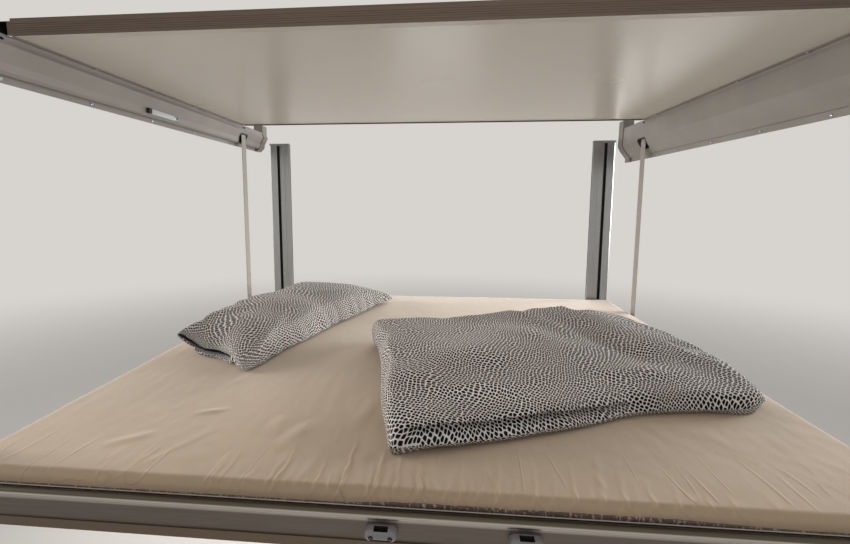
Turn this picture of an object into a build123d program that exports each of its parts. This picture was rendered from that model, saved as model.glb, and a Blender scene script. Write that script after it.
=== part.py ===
from build123d import *
import os

os.makedirs("parts", exist_ok=True)

# Motorhome drop-down bed with the ceiling unit that its straps hang from.
# Millimetres. +Z up, +Y forwards to the bulkhead that carries the guide rails, +X right.
# The origin is the middle of the ceiling panel's top face, which lies against the roof.

# Ceiling panel and its edge profiles
panel_length = 1275.0
panel_thickness = 42.0
fascia_depth = 22.0
fascia_recess = 9.0
fascia_shadow_gap = 11.0
fascia_lip = 2.0
groove_count = 5
groove_pitch = 5.0
groove_height = 1.2
groove_depth = 0.6
rear_fascia_depth = 8.0
rear_fascia_drop = 4.0

# Side housings: covers between the panel's edge and the side wall
housing_bulkhead_gap = 55.0
housing_wall = 2.5
housing_bend_r = 4.0
flange_overlap = 16.0
flange_root_gap = 4.0
wall_flange_height = 22.0
wall_flange_thickness = 4.0
flange_screw_pitch = 270.0
flange_screw_count = 6
flange_screw_r = 2.2
flange_end_gap = 0.5
notch_length = 42.0
notch_height = 7.0
notch_drop = 52.5
notch_start = 8.0
cap_length = 62.0
cap_roof_gap = 1.0
cap_corner_r = 5.0
cap_end_chamfer = 2.0

# Lift shafts with their strap spools
shaft_r = 8.0
shaft_drop = 64.0
spool_r = 17.0
spool_flange_r = 20.0
spool_flange_width = 3.0
journal_length = 34.0
running_gap = 0.3

# Straps
strap_width = 50.0
strap_thickness = 1.5
strap_near_inset = 50.0
strap_far_inset = 300.0
slot_width = 80.0
slot_corner_r = 9.0

# Bed
bed_drop = 1000.0
mattress_width = 2000.0
mattress_length = 1850.0
mattress_thickness = 85.0
mattress_corner_r = 45.0
mattress_edge_chamfer = 8.0
mattress_centre_y = 47.5
base_thickness = 18.0
base_clearance = 0.3

# Bed edge profile
rail_gap = 1.5
lip_drop = 30.0
lip_width = 4.0
groove_floor_drop = 40.0
nose_r = 8.7
nose_drop = 36.0
nose_centre = 19.0
rail_depth = 22.0
flat_rail_depth = 11.0
rail_bottom = 106.0
rail_foot_height = 20.0
rail_foot_depth = 3.0
ledge_width = 18.0
corner_length = 34.0
corner_outer_r = 10.0

# Ladder sockets on the front rail
socket_width = 62.0
socket_height = 22.0
socket_depth = 21.0
socket_corner_r = 12.0
socket_edge_chamfer = 4.0
socket_centre_x = 71.5
socket_spacing = 271.0
socket_drop = 52.5
socket_back_wall = 4.0
socket_slot_width = 27.0
socket_slot_depth = 13.0
socket_slot_height = 18.0
socket_screw_r = 3.6
socket_screw_depth = 7.0
socket_screw_rise = 5.5
socket_screw_spacing = 38.0

# Guide rails and slide shoes
guide_width = 117.0
guide_depth = 21.0
guide_top = 104.0
guide_below_bed = 300.0
guide_recess_inner = 20.5
guide_recess_outer = 16.5
guide_recess_depth = 9.0
guide_slot_width = 14.0
guide_slot_depth = 9.0
guide_bead_width = 6.5
guide_bead_height = 1.5
guide_edge_chamfer = 3.0
guide_hole_r = 2.5
guide_hole_inset = 4.0
guide_cap_height = 12.0
guide_cap_overlap = 2.0
guide_cap_chamfer = 1.5
shoe_height = 72.0
shoe_drop = 32.0
shoe_side_gap = 1.0

# Strap anchors on the side rails
anchor_height = 52.0
anchor_drop = 38.0
anchor_width = 64.0
anchor_clamp = 3.5
strap_grip = 44.0
strap_seat_gap = 0.25

# Bedding
pillow_length = 1080.0
pillow_width = 400.0
pillow_height = 150.0
pillow_corner_r = 60.0
pillow_edge_chamfer = 45.0
pillow_centre_x = -595.0
pillow_centre_from_front = 1110.0
pillow_turn = 72.5
quilt_height = 135.0
quilt_corner_r = 70.0
quilt_edge_chamfer = 42.0
# Corners of the folded quilt. Columns: x, distance from the mattress's front edge.
quilt_corners = [(-73, 100), (880, 380), (750, 970), (-170, 800)]

# Catch on the left housing
catch_length = 150.0
catch_height = 14.0
catch_depth = 6.0
catch_block_length = 16.0
catch_block_step = 4.0
catch_centre_y = -15.0
catch_drop = 113.0
catch_wall_gap = 36.1

# Gaps that place the pieces across and along the vehicle
strap_rail_gap = 6.0
strap_wall_gap = 41.5
panel_wall_gap = 54.0
guide_wall_gap = 115.0
bulkhead_rail_gap = 37.0

# Derived places
side_rail_outer_x = mattress_width / 2 + rail_gap + flat_rail_depth
strap_x = side_rail_outer_x + strap_rail_gap
half_wall = strap_x + strap_wall_gap
panel_width = 2 * (half_wall - panel_wall_gap)
guide_centre_x = half_wall - guide_wall_gap
panel_rear_y = panel_length / 2
panel_front_y = -panel_length / 2
mattress_front_y = mattress_centre_y - mattress_length / 2
mattress_rear_y = mattress_centre_y + mattress_length / 2
rear_rail_outer_y = mattress_rear_y + rail_gap + flat_rail_depth
front_rail_outer_y = mattress_front_y - rail_gap - rail_depth
bulkhead_y = rear_rail_outer_y + bulkhead_rail_gap
housing_far_y = bulkhead_y - housing_bulkhead_gap - cap_length
housing_near_y = -housing_far_y
housing_length = housing_far_y - housing_near_y
shaft_x = strap_x + strap_thickness / 2 + running_gap + spool_r
strap_rows = {"near": mattress_front_y + strap_near_inset, "far": mattress_rear_y - strap_far_inset}
guide_bottom = bed_drop + guide_below_bed
sides = {"left": -1, "right": 1}


# CEILING PANEL AND ITS EDGE PROFILES
with BuildPart() as ceiling_panel:
    board_length = panel_length - fascia_depth - rear_fascia_depth
    board_centre_y = (fascia_depth - rear_fascia_depth) / 2
    with BuildSketch(Plane.XY.offset(-panel_thickness)):
        with Locations((0, board_centre_y)):
            Rectangle(panel_width, board_length)
    extrude(amount=panel_thickness)

ceiling_panel.part.label = "ceiling_panel"
export_step(ceiling_panel.part, "parts/ceiling_panel.step")


# The profiles' lower lips stop short of the housings' flanges under the panel.
lip_length = panel_width - 2 * (flange_overlap + flange_end_gap)
with BuildPart() as front_fascia:
    with BuildSketch(Plane.YZ.offset(-panel_width / 2)):
        with BuildLine():
            Polyline(
                (panel_front_y + fascia_depth, 0),
                (panel_front_y + fascia_recess, 0),
                (panel_front_y + fascia_recess, -fascia_shadow_gap),
                (panel_front_y, -fascia_shadow_gap),
                (panel_front_y, -panel_thickness),
                (panel_front_y + fascia_depth, -panel_thickness),
                close=True,
            )
        make_face()
        groove_z = -(panel_thickness + fascia_shadow_gap) / 2
        with Locations((panel_front_y, groove_z)):
            with GridLocations(1, groove_pitch, 1, groove_count):
                Rectangle(2 * groove_depth, groove_height, mode=Mode.SUBTRACT)
    extrude(amount=panel_width)
    with BuildSketch(Plane.XY.offset(-panel_thickness - fascia_lip)):
        with Locations((0, panel_front_y + fascia_depth / 2)):
            Rectangle(lip_length, fascia_depth)
    extrude(amount=fascia_lip)

front_fascia.part.label = "front_fascia"
export_step(front_fascia.part, "parts/front_fascia.step")


with BuildPart() as rear_fascia:
    with BuildSketch(Plane.XY.offset(-panel_thickness)):
        with Locations((0, panel_rear_y - rear_fascia_depth / 2)):
            Rectangle(panel_width, rear_fascia_depth)
    extrude(amount=panel_thickness)
    with BuildSketch(Plane.XY.offset(-panel_thickness - rear_fascia_drop)):
        with Locations((0, panel_rear_y - rear_fascia_depth / 2)):
            Rectangle(lip_length, rear_fascia_depth)
    extrude(amount=rear_fascia_drop)

rear_fascia.part.label = "rear_fascia"
export_step(rear_fascia.part, "parts/rear_fascia.step")


# SIDE HOUSINGS
# Each cover's outer line, from under its flange down to the wall.
# Columns: distance in from the wall, drop below the roof.
housing_lines = {
    "left": [(51, 56), (57, 67), (36, 104), (34, 123.5), (26, 130.5), (10, 129.5), (1.5, 125)],
    "right": [(52, 58), (54, 134), (41, 158), (8, 200), (1.5, 197)],
}
cap_lines = {
    "left": [(53, 54), (60, 67), (39, 105), (37, 125), (27, 135), (15, 146)],
    "right": [(55, 57), (57, 135), (44, 160), (14, 199), (14, 220)],
}
housing_bottoms = {"left": 146.0, "right": 220.0}
# Strap slots. Columns: top and bottom of the slot below the roof.
slot_drops = {"left": (86, 126), "right": (128, 172)}


def housing_points(side):
    """Outer line of one cover as (x, z) points, flange tip first."""
    sign = sides[side]
    flange_z = -panel_thickness - housing_wall
    tip = (sign * (panel_width / 2 - flange_overlap), flange_z)
    root = (sign * (panel_width / 2 + flange_root_gap), flange_z)
    rest = [(sign * (half_wall - inset), -drop) for inset, drop in housing_lines[side]]
    return [tip, root] + rest


def make_housing(side):
    """Bent cover with a flange under the panel and a flange on the wall."""
    sign = sides[side]
    points = housing_points(side)
    bottom = -housing_bottoms[side]
    with BuildPart() as housing:
        with BuildSketch(Plane.XZ.offset(-housing_far_y)):
            with BuildLine():
                line = FilletPolyline(*points, radius=housing_bend_r)
                offset(line, amount=housing_wall, side=Side.LEFT if sign > 0 else Side.RIGHT)
            make_face()
            with Locations((sign * (half_wall - wall_flange_thickness / 2), bottom + wall_flange_height / 2)):
                Rectangle(wall_flange_thickness, wall_flange_height)
        extrude(amount=housing_length)
        flange_x = sign * (panel_width / 2 - flange_overlap / 2)
        free_length = housing_far_y - panel_rear_y
        for end in (-1, 1):
            free_y = end * (panel_rear_y + free_length / 2)
            with BuildSketch(Plane.XY.offset(-panel_thickness - 2 * housing_wall)):
                with Locations((flange_x, free_y)):
                    Rectangle(flange_overlap + 2 * cap_roof_gap, free_length)
            extrude(amount=3 * housing_wall, mode=Mode.SUBTRACT)
        top, low = slot_drops[side]
        with BuildSketch(Plane.YZ.offset(sign * half_wall)):
            for row_y in strap_rows.values():
                with Locations((row_y, -(top + low) / 2)):
                    RectangleRounded(slot_width, low - top, slot_corner_r)
        extrude(amount=-sign * (half_wall - panel_width / 2 + flange_overlap), mode=Mode.SUBTRACT)
        with BuildSketch(Plane.YZ.offset(sign * (panel_width / 2 - notch_height))):
            for end in (-1, 1):
                with Locations((end * (panel_rear_y + notch_start + notch_length / 2), -notch_drop)):
                    Rectangle(notch_length, notch_height)
        extrude(amount=sign * 2 * notch_height, mode=Mode.SUBTRACT)
        with BuildSketch(Plane.YZ.offset(sign * (half_wall - wall_flange_thickness))):
            with Locations((0, bottom + wall_flange_height / 2 - 2)):
                with GridLocations(flange_screw_pitch, 1, flange_screw_count, 1):
                    Circle(flange_screw_r)
        extrude(amount=wall_flange_thickness, both=True, mode=Mode.SUBTRACT)
    return housing.part


def make_housing_cap(side, row):
    """Moulded end of a housing, with the blind bearing bore of the lift shaft."""
    sign = sides[side]
    bottom = -housing_bottoms[side]
    outline = [(sign * (half_wall - inset), -drop) for inset, drop in cap_lines[side]]
    outline = [(outline[0][0], -cap_roof_gap)] + outline
    outline += [(sign * half_wall, bottom), (sign * half_wall, -cap_roof_gap)]
    inner_y = housing_far_y if row == "far" else housing_near_y
    outward = 1 if row == "far" else -1
    with BuildPart() as cap:
        with BuildSketch(Plane.XZ.offset(-inner_y)) as profile:
            with BuildLine():
                Polyline(*outline, close=True)
            make_face()
            inner_corners = profile.vertices().filter_by(lambda v: abs(v.X) < half_wall - cap_corner_r)
            fillet(inner_corners.filter_by(lambda v: v.Z < -2 * cap_corner_r), cap_corner_r)
        extrude(amount=-outward * cap_length)
        end_face = cap.faces().sort_by(Axis.Y)[-1 if row == "far" else 0]
        chamfer(end_face.edges(), cap_end_chamfer)
        with BuildSketch(Plane.XZ.offset(-inner_y)):
            with Locations((sign * shaft_x, -shaft_drop)):
                Circle(shaft_r + running_gap)
        extrude(amount=-outward * (journal_length + 1), mode=Mode.SUBTRACT)
    return cap.part


def make_lift_shaft(side):
    """Shaft along the housing, with a flanged spool over each strap."""
    sign = sides[side]
    with BuildPart() as shaft:
        far_end = housing_far_y + journal_length
        with BuildSketch(Plane.XZ.offset(-far_end)):
            with Locations((sign * shaft_x, -shaft_drop)):
                Circle(shaft_r)
        extrude(amount=housing_length + 2 * journal_length)
        spool_length = strap_width + 2 * running_gap + 2
        for row_y in strap_rows.values():
            with BuildSketch(Plane.XZ.offset(-row_y)):
                with Locations((sign * shaft_x, -shaft_drop)):
                    Circle(spool_r)
            extrude(amount=spool_length / 2, both=True)
            for end in (-1, 1):
                flange_y = row_y + end * (spool_length + spool_flange_width) / 2
                with BuildSketch(Plane.XZ.offset(-flange_y)):
                    with Locations((sign * shaft_x, -shaft_drop)):
                        Circle(spool_flange_r)
                extrude(amount=spool_flange_width / 2, both=True)
    return shaft.part


def make_strap(side, row):
    """Flat strap from its spool down to the anchor on the bed's side rail."""
    sign = sides[side]
    low_z = -bed_drop - anchor_drop - strap_grip
    with BuildPart() as strap:
        with BuildSketch(Plane.XY.offset(low_z)):
            with Locations((sign * strap_x, strap_rows[row])):
                Rectangle(strap_thickness, strap_width)
        extrude(amount=-shaft_drop - low_z)
    return strap.part


def make_strap_anchor(side, row):
    """Plate on the side rail with a clamp that holds the strap's end."""
    sign = sides[side]
    outer_x = strap_x + strap_thickness / 2 + strap_seat_gap + anchor_clamp
    anchor_x = (side_rail_outer_x + outer_x) / 2
    with BuildPart() as anchor:
        with BuildSketch(Plane.XY.offset(-bed_drop - anchor_drop - anchor_height)):
            with Locations((sign * anchor_x, strap_rows[row])):
                Rectangle(outer_x - side_rail_outer_x, anchor_width)
            with Locations((sign * strap_x, strap_rows[row])):
                Rectangle(
                    strap_thickness + 2 * strap_seat_gap,
                    strap_width + 2 * strap_seat_gap,
                    mode=Mode.SUBTRACT,
                )
        extrude(amount=anchor_height)
    return anchor.part


for side in sides:
    housing = make_housing(side)
    housing.label = f"housing_{side}"
    export_step(housing, f"parts/housing_{side}.step")
    shaft = make_lift_shaft(side)
    shaft.label = f"lift_shaft_{side}"
    export_step(shaft, f"parts/lift_shaft_{side}.step")
    for row in strap_rows:
        cap = make_housing_cap(side, row)
        cap.label = f"housing_cap_{side}_{row}"
        export_step(cap, f"parts/housing_cap_{side}_{row}.step")
        strap = make_strap(side, row)
        strap.label = f"strap_{side}_{row}"
        export_step(strap, f"parts/strap_{side}_{row}.step")
        anchor = make_strap_anchor(side, row)
        anchor.label = f"strap_anchor_{side}_{row}"
        export_step(anchor, f"parts/strap_anchor_{side}_{row}.step")


# CATCH ON THE LEFT HOUSING
catch_x = -(half_wall - catch_wall_gap)
catch_z = -catch_drop
with BuildPart() as catch_strip:
    with BuildSketch(Plane.YZ.offset(catch_x)):
        with Locations((catch_centre_y, catch_z)):
            Rectangle(catch_length, catch_height)
    extrude(amount=catch_depth)

catch_strip.part.label = "catch_strip"
export_step(catch_strip.part, "parts/catch_strip.step")


with BuildPart() as catch_block:
    block_y = catch_centre_y - (catch_length + catch_block_length) / 2
    with BuildSketch(Plane.YZ.offset(catch_x)):
        with Locations((block_y, catch_z)):
            Rectangle(catch_block_length, catch_height + catch_block_step)
    extrude(amount=catch_depth + catch_block_step)

catch_block.part.label = "catch_block"
export_step(catch_block.part, "parts/catch_block.step")


# GUIDE RAILS ON THE BULKHEAD
def guide_section(sign):
    """Points of the guide rail's section, back face on the bulkhead."""
    back = bulkhead_y
    front = bulkhead_y - guide_depth
    band = front + guide_bead_height
    recess = front + guide_recess_depth
    slot = recess + guide_slot_depth
    half = guide_width / 2
    bead_x = -guide_recess_inner - guide_bead_width
    slot_x = guide_recess_outer - guide_slot_width
    across = [
        (-half, back), (-half, band), (bead_x, band), (bead_x, front),
        (-guide_recess_inner, front), (-guide_recess_inner, recess), (slot_x, recess), (slot_x, slot),
        (guide_recess_outer, slot), (guide_recess_outer, front),
        (half - guide_edge_chamfer, front), (half, front + guide_edge_chamfer), (half, back),
    ]
    return [(sign * (guide_centre_x + x), y) for x, y in across]


# Fixing holes down each guide rail: drops below the roof.
guide_hole_drops = [445, 605, 880, guide_bottom - 160]


def make_guide_rail(side):
    """Extruded guide rail with its recess, deep slot and fixing holes."""
    sign = sides[side]
    with BuildPart() as guide:
        with BuildSketch(Plane.XY.offset(-guide_bottom)):
            with BuildLine():
                Polyline(*guide_section(sign), close=True)
            make_face()
        extrude(amount=guide_bottom - guide_top)
        with BuildSketch(Plane.XZ.offset(-bulkhead_y)):
            for drop in guide_hole_drops:
                with Locations((sign * (guide_centre_x - guide_hole_inset), -drop)):
                    Circle(guide_hole_r)
        extrude(amount=guide_depth, mode=Mode.SUBTRACT)
    return guide.part


def make_guide_cap(side, end):
    """Plastic cap over one end of a guide rail."""
    sign = sides[side]
    base = -guide_top if end == "top" else -guide_bottom - guide_cap_height
    with BuildPart() as cap:
        with BuildSketch(Plane.XY.offset(base)):
            with Locations((sign * guide_centre_x, bulkhead_y - (guide_depth + guide_cap_overlap) / 2)):
                Rectangle(guide_width + 2 * guide_cap_overlap, guide_depth + guide_cap_overlap)
        extrude(amount=guide_cap_height)
        outer_face = cap.faces().sort_by(Axis.Z)[-1 if end == "top" else 0]
        chamfer(outer_face.edges().sort_by(Axis.Y)[:3], guide_cap_chamfer)
    return cap.part


def make_slide_shoe(side):
    """Shoe on the bed's rear rail that runs in the guide's recess and slot."""
    sign = sides[side]
    front = bulkhead_y - guide_depth
    floor = front + guide_recess_depth - shoe_side_gap
    tongue_end = front + guide_recess_depth + guide_slot_depth - shoe_side_gap
    rail_back = rear_rail_outer_y
    top_z = -bed_drop - shoe_drop
    recess_width = guide_recess_inner + guide_recess_outer
    recess_x = guide_centre_x + (guide_recess_outer - guide_recess_inner) / 2
    tongue_x = guide_centre_x + guide_recess_outer - guide_slot_width / 2
    with BuildPart() as shoe:
        with BuildSketch(Plane.XY.offset(top_z - shoe_height)):
            with Locations((sign * recess_x, (rail_back + floor) / 2)):
                Rectangle(recess_width - 2 * shoe_side_gap, floor - rail_back)
            with Locations((sign * tongue_x, (rail_back + tongue_end) / 2)):
                Rectangle(guide_slot_width - 2 * running_gap, tongue_end - rail_back)
        extrude(amount=shoe_height)
    return shoe.part


for side in sides:
    guide = make_guide_rail(side)
    guide.label = f"guide_rail_{side}"
    export_step(guide, f"parts/guide_rail_{side}.step")
    for end in ("top", "bottom"):
        cap = make_guide_cap(side, end)
        cap.label = f"guide_cap_{side}_{end}"
        export_step(cap, f"parts/guide_cap_{side}_{end}.step")
    shoe = make_slide_shoe(side)
    shoe.label = f"slide_shoe_{side}"
    export_step(shoe, f"parts/slide_shoe_{side}.step")


# BED FRAME
def front_section():
    """Front edge profile. First axis: out from the mattress. Second axis: up from its top."""
    face = rail_gap + rail_depth
    with BuildSketch(mode=Mode.PRIVATE) as section:
        with BuildLine():
            Polyline(
                (rail_gap, -lip_drop),
                (rail_gap + lip_width, -lip_drop),
                (rail_gap + lip_width, -groove_floor_drop),
                (face, -groove_floor_drop),
                (face, -rail_bottom),
                (rail_gap - ledge_width, -rail_bottom),
                (rail_gap - ledge_width, -mattress_thickness - base_thickness),
                (rail_gap, -mattress_thickness - base_thickness),
                close=True,
            )
        make_face()
        with Locations((nose_centre, -nose_drop)):
            Circle(nose_r)
        with Locations((face + rail_foot_depth / 2, rail_foot_height / 2 - rail_bottom)):
            Rectangle(rail_foot_depth, rail_foot_height)
    return section.sketch


def flat_section():
    """Side and rear edge profile, on the same axes as the front one."""
    with BuildSketch(mode=Mode.PRIVATE) as section:
        with BuildLine():
            Polyline(
                (rail_gap, -lip_drop),
                (rail_gap + flat_rail_depth, -lip_drop),
                (rail_gap + flat_rail_depth, -rail_bottom),
                (rail_gap - ledge_width, -rail_bottom),
                (rail_gap - ledge_width, -mattress_thickness - base_thickness),
                (rail_gap, -mattress_thickness - base_thickness),
                close=True,
            )
        make_face()
    return section.sketch


# Columns: rail, section, outward direction, mattress edge's distance from its centre, length.
half_bed_width = mattress_width / 2
half_bed_length = mattress_length / 2
rail_table = [
    ("bed_front_rail", front_section, (0, -1), half_bed_length, mattress_width - 2 * corner_length),
    ("bed_rear_rail", flat_section, (0, 1), half_bed_length, mattress_width - 2 * corner_length),
    ("bed_side_rail_left", flat_section, (-1, 0), half_bed_width, mattress_length - 2 * corner_length),
    ("bed_side_rail_right", flat_section, (1, 0), half_bed_width, mattress_length - 2 * corner_length),
]
for name, section, out, edge, length in rail_table:
    rail_plane = Plane(
        origin=(out[0] * edge, mattress_centre_y + out[1] * edge, -bed_drop),
        x_dir=(out[0], out[1], 0),
        z_dir=(out[1], -out[0], 0),
    )
    with BuildPart() as rail:
        with BuildSketch(rail_plane):
            add(section())
        extrude(amount=length / 2, both=True)
    rail.part.label = name
    export_step(rail.part, f"parts/{name}.step")


# Corner pieces. Columns: piece, side of the bed, end of the bed, depth of the rail there.
corner_table = [
    ("bed_corner_left_near", -1, -1, rail_depth),
    ("bed_corner_right_near", 1, -1, rail_depth),
    ("bed_corner_left_far", -1, 1, flat_rail_depth),
    ("bed_corner_right_far", 1, 1, flat_rail_depth),
]
for name, across, ahead, depth in corner_table:
    inner_x = across * (half_bed_width - corner_length)
    outer_x = across * side_rail_outer_x
    inner_y = mattress_centre_y + ahead * (half_bed_length - corner_length)
    outer_y = mattress_centre_y + ahead * (half_bed_length + rail_gap + depth)
    cut_x = across * (half_bed_width + rail_gap)
    cut_y = mattress_centre_y + ahead * (half_bed_length + rail_gap)
    with BuildPart() as corner:
        with BuildSketch(Plane.XY.offset(-bed_drop - rail_bottom)) as plan:
            with Locations(((inner_x + outer_x) / 2, (inner_y + outer_y) / 2)):
                Rectangle(abs(outer_x - inner_x), abs(outer_y - inner_y))
            outer_vertex = plan.vertices().sort_by_distance((outer_x, outer_y, 0))[0]
            fillet(outer_vertex, corner_outer_r)
            with Locations(((inner_x + cut_x) / 2, (inner_y + cut_y) / 2)):
                Rectangle(abs(cut_x - inner_x), abs(cut_y - inner_y), mode=Mode.SUBTRACT)
        extrude(amount=rail_bottom - lip_drop)
    corner.part.label = name
    export_step(corner.part, f"parts/{name}.step")


with BuildPart() as bed_base:
    with BuildSketch(Plane.XY.offset(-bed_drop - mattress_thickness - base_thickness)):
        with Locations((0, mattress_centre_y)):
            Rectangle(
                mattress_width + 2 * (rail_gap - base_clearance),
                mattress_length + 2 * (rail_gap - base_clearance),
            )
    extrude(amount=base_thickness)

bed_base.part.label = "bed_base"
export_step(bed_base.part, "parts/bed_base.step")


# LADDER SOCKETS
socket_y = front_rail_outer_y
socket_front_y = socket_y - socket_depth
socket_top_z = -bed_drop - socket_drop
socket_bottom_z = socket_top_z - socket_height
for side, sign in sides.items():
    centre_x = socket_centre_x + sign * socket_spacing / 2
    with BuildPart() as socket:
        with BuildSketch(Plane.XY.offset(socket_bottom_z)) as plan:
            with Locations((centre_x, (socket_y + socket_front_y) / 2)):
                Rectangle(socket_width, socket_depth)
            fillet(plan.vertices().sort_by(Axis.Y)[:2], socket_corner_r)
        extrude(amount=socket_height)
        rim = socket.faces().sort_by(Axis.Z)[-1].edges() + socket.faces().sort_by(Axis.Z)[0].edges()
        chamfer(rim.filter_by(lambda edge: edge.center().Y < socket_y - 1), socket_edge_chamfer)
        with BuildSketch(Plane.XY.offset(socket_top_z - socket_slot_height)):
            with Locations((centre_x, socket_y - socket_back_wall - socket_slot_depth / 2)):
                Rectangle(socket_slot_width, socket_slot_depth)
        extrude(amount=socket_slot_height, mode=Mode.SUBTRACT)
        with BuildSketch(Plane.XZ.offset(-socket_front_y)):
            with Locations((centre_x, socket_bottom_z + socket_screw_rise)):
                with GridLocations(socket_screw_spacing, 1, 2, 1):
                    Circle(socket_screw_r)
        extrude(amount=-socket_screw_depth, mode=Mode.SUBTRACT)
    socket.part.label = f"ladder_socket_{side}"
    export_step(socket.part, f"parts/ladder_socket_{side}.step")


# MATTRESS AND BEDDING
with BuildPart() as mattress:
    with BuildSketch(Plane.XY.offset(-bed_drop - mattress_thickness)):
        with Locations((0, mattress_centre_y)):
            RectangleRounded(mattress_width, mattress_length, mattress_corner_r)
    extrude(amount=mattress_thickness)
    chamfer(mattress.faces().sort_by(Axis.Z)[-1].edges(), mattress_edge_chamfer)

mattress.part.label = "mattress"
export_step(mattress.part, "parts/mattress.step")


pillow_plane = Plane(
    origin=(pillow_centre_x, mattress_front_y + pillow_centre_from_front, -bed_drop),
    x_dir=(1, 0, 0),
    z_dir=(0, 0, 1),
).rotated((0, 0, pillow_turn))
with BuildPart() as pillow_left:
    with BuildSketch(pillow_plane):
        RectangleRounded(pillow_length, pillow_width, pillow_corner_r)
    extrude(amount=pillow_height)
    chamfer(pillow_left.faces().sort_by(Axis.Z)[-1].edges(), pillow_edge_chamfer)

pillow_left.part.label = "pillow_left"
export_step(pillow_left.part, "parts/pillow_left.step")


with BuildPart() as pillow_right:
    with BuildSketch(Plane.XY.offset(-bed_drop)) as quilt:
        with BuildLine():
            Polyline(*[(x, mattress_front_y + y) for x, y in quilt_corners], close=True)
        make_face()
        fillet(quilt.vertices(), quilt_corner_r)
    extrude(amount=quilt_height)
    chamfer(pillow_right.faces().sort_by(Axis.Z)[-1].edges(), quilt_edge_chamfer)

pillow_right.part.label = "pillow_right"
export_step(pillow_right.part, "parts/pillow_right.step")
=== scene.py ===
import math

import bmesh
import bpy
from mathutils import Matrix, Vector, noise
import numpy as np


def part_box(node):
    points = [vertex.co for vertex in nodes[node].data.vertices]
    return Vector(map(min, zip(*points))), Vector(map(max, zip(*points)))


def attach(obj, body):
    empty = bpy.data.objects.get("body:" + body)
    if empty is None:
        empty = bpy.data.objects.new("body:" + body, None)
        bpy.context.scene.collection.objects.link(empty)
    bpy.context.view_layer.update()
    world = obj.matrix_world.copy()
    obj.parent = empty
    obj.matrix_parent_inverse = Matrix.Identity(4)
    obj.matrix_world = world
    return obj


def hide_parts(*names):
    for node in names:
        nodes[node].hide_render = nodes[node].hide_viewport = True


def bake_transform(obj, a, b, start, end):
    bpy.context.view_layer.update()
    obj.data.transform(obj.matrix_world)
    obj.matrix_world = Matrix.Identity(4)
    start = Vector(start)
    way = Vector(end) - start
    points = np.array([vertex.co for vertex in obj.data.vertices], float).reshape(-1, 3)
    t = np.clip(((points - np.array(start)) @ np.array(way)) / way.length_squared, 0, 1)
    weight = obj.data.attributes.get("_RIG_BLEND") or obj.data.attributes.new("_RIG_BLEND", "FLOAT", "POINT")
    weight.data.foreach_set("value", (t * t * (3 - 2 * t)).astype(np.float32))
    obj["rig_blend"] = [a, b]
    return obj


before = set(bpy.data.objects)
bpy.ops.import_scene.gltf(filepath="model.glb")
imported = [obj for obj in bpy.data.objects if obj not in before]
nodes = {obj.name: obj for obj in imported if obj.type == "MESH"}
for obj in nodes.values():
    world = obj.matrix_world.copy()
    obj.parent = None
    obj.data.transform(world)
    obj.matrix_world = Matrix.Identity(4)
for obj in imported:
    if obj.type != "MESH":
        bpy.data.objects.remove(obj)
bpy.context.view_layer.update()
scene = bpy.context.scene

SIDES = {"left": -1.0, "right": 1.0}
CORNERS = [(side, row) for side in SIDES for row in ("near", "far")]
BACKDROP = (0.68, 0.655, 0.62, 1)
FLOOR_HEIGHT = -2.0

# The mattress gives the bed's height and front edge
mattress_low, mattress_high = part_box("mattress")
BED_TOP = mattress_high.z
BED_FRONT = mattress_low.y

finishes = {}


# NODE HELPERS
def feed(tree, socket, source):
    """Sets a socket to a value, or links it to another node's output."""
    if isinstance(source, bpy.types.NodeSocket):
        tree.links.new(source, socket)
    else:
        socket.default_value = source


def add_node(tree, kind, sockets=None):
    """A shader node, and the values or other nodes' outputs that go into its sockets."""
    made = tree.nodes.new("ShaderNode" + kind)
    for name, source in (sockets or {}).items():
        feed(tree, made.inputs[name], source)
    return made


def reckon(tree, operation, *amounts, kind="Math"):
    """Arithmetic on values or other nodes' outputs."""
    made = tree.nodes.new("ShaderNode" + kind)
    made.operation = operation
    for socket, amount in zip(made.inputs, amounts):
        feed(tree, socket, amount)
    return made.outputs["Value" if operation == "LENGTH" else 0]


def between(tree, amount, start, end, low=0.0, high=1.0, smooth=False):
    """Goes from low to high as the amount goes from start to end."""
    rise = add_node(tree, "MapRange", {"From Min": start, "From Max": end, "To Min": low, "To Max": high})
    if smooth:
        rise.interpolation_type = "SMOOTHSTEP"
    feed(tree, rise.inputs["Value"], amount)
    return rise.outputs["Result"]


def place_on(tree, stretch=(1, 1, 1)):
    """Coordinates on the piece, stretched along its axes."""
    where = add_node(tree, "TexCoord")
    return add_node(tree, "Mapping", {"Vector": where.outputs["Object"], "Scale": stretch}).outputs["Vector"]


def clouding(tree, scale, detail, stretch=(1, 1, 1)):
    sockets = {"Vector": place_on(tree, stretch), "Scale": scale, "Detail": detail}
    return add_node(tree, "TexNoise", sockets).outputs["Fac"]


def band_mask(tree, axis, start, end):
    """Rises from 0 to 1 between two places along one axis."""
    split = add_node(tree, "SeparateXYZ", {0: place_on(tree)})
    return between(tree, split.outputs[axis], start, end)


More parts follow.
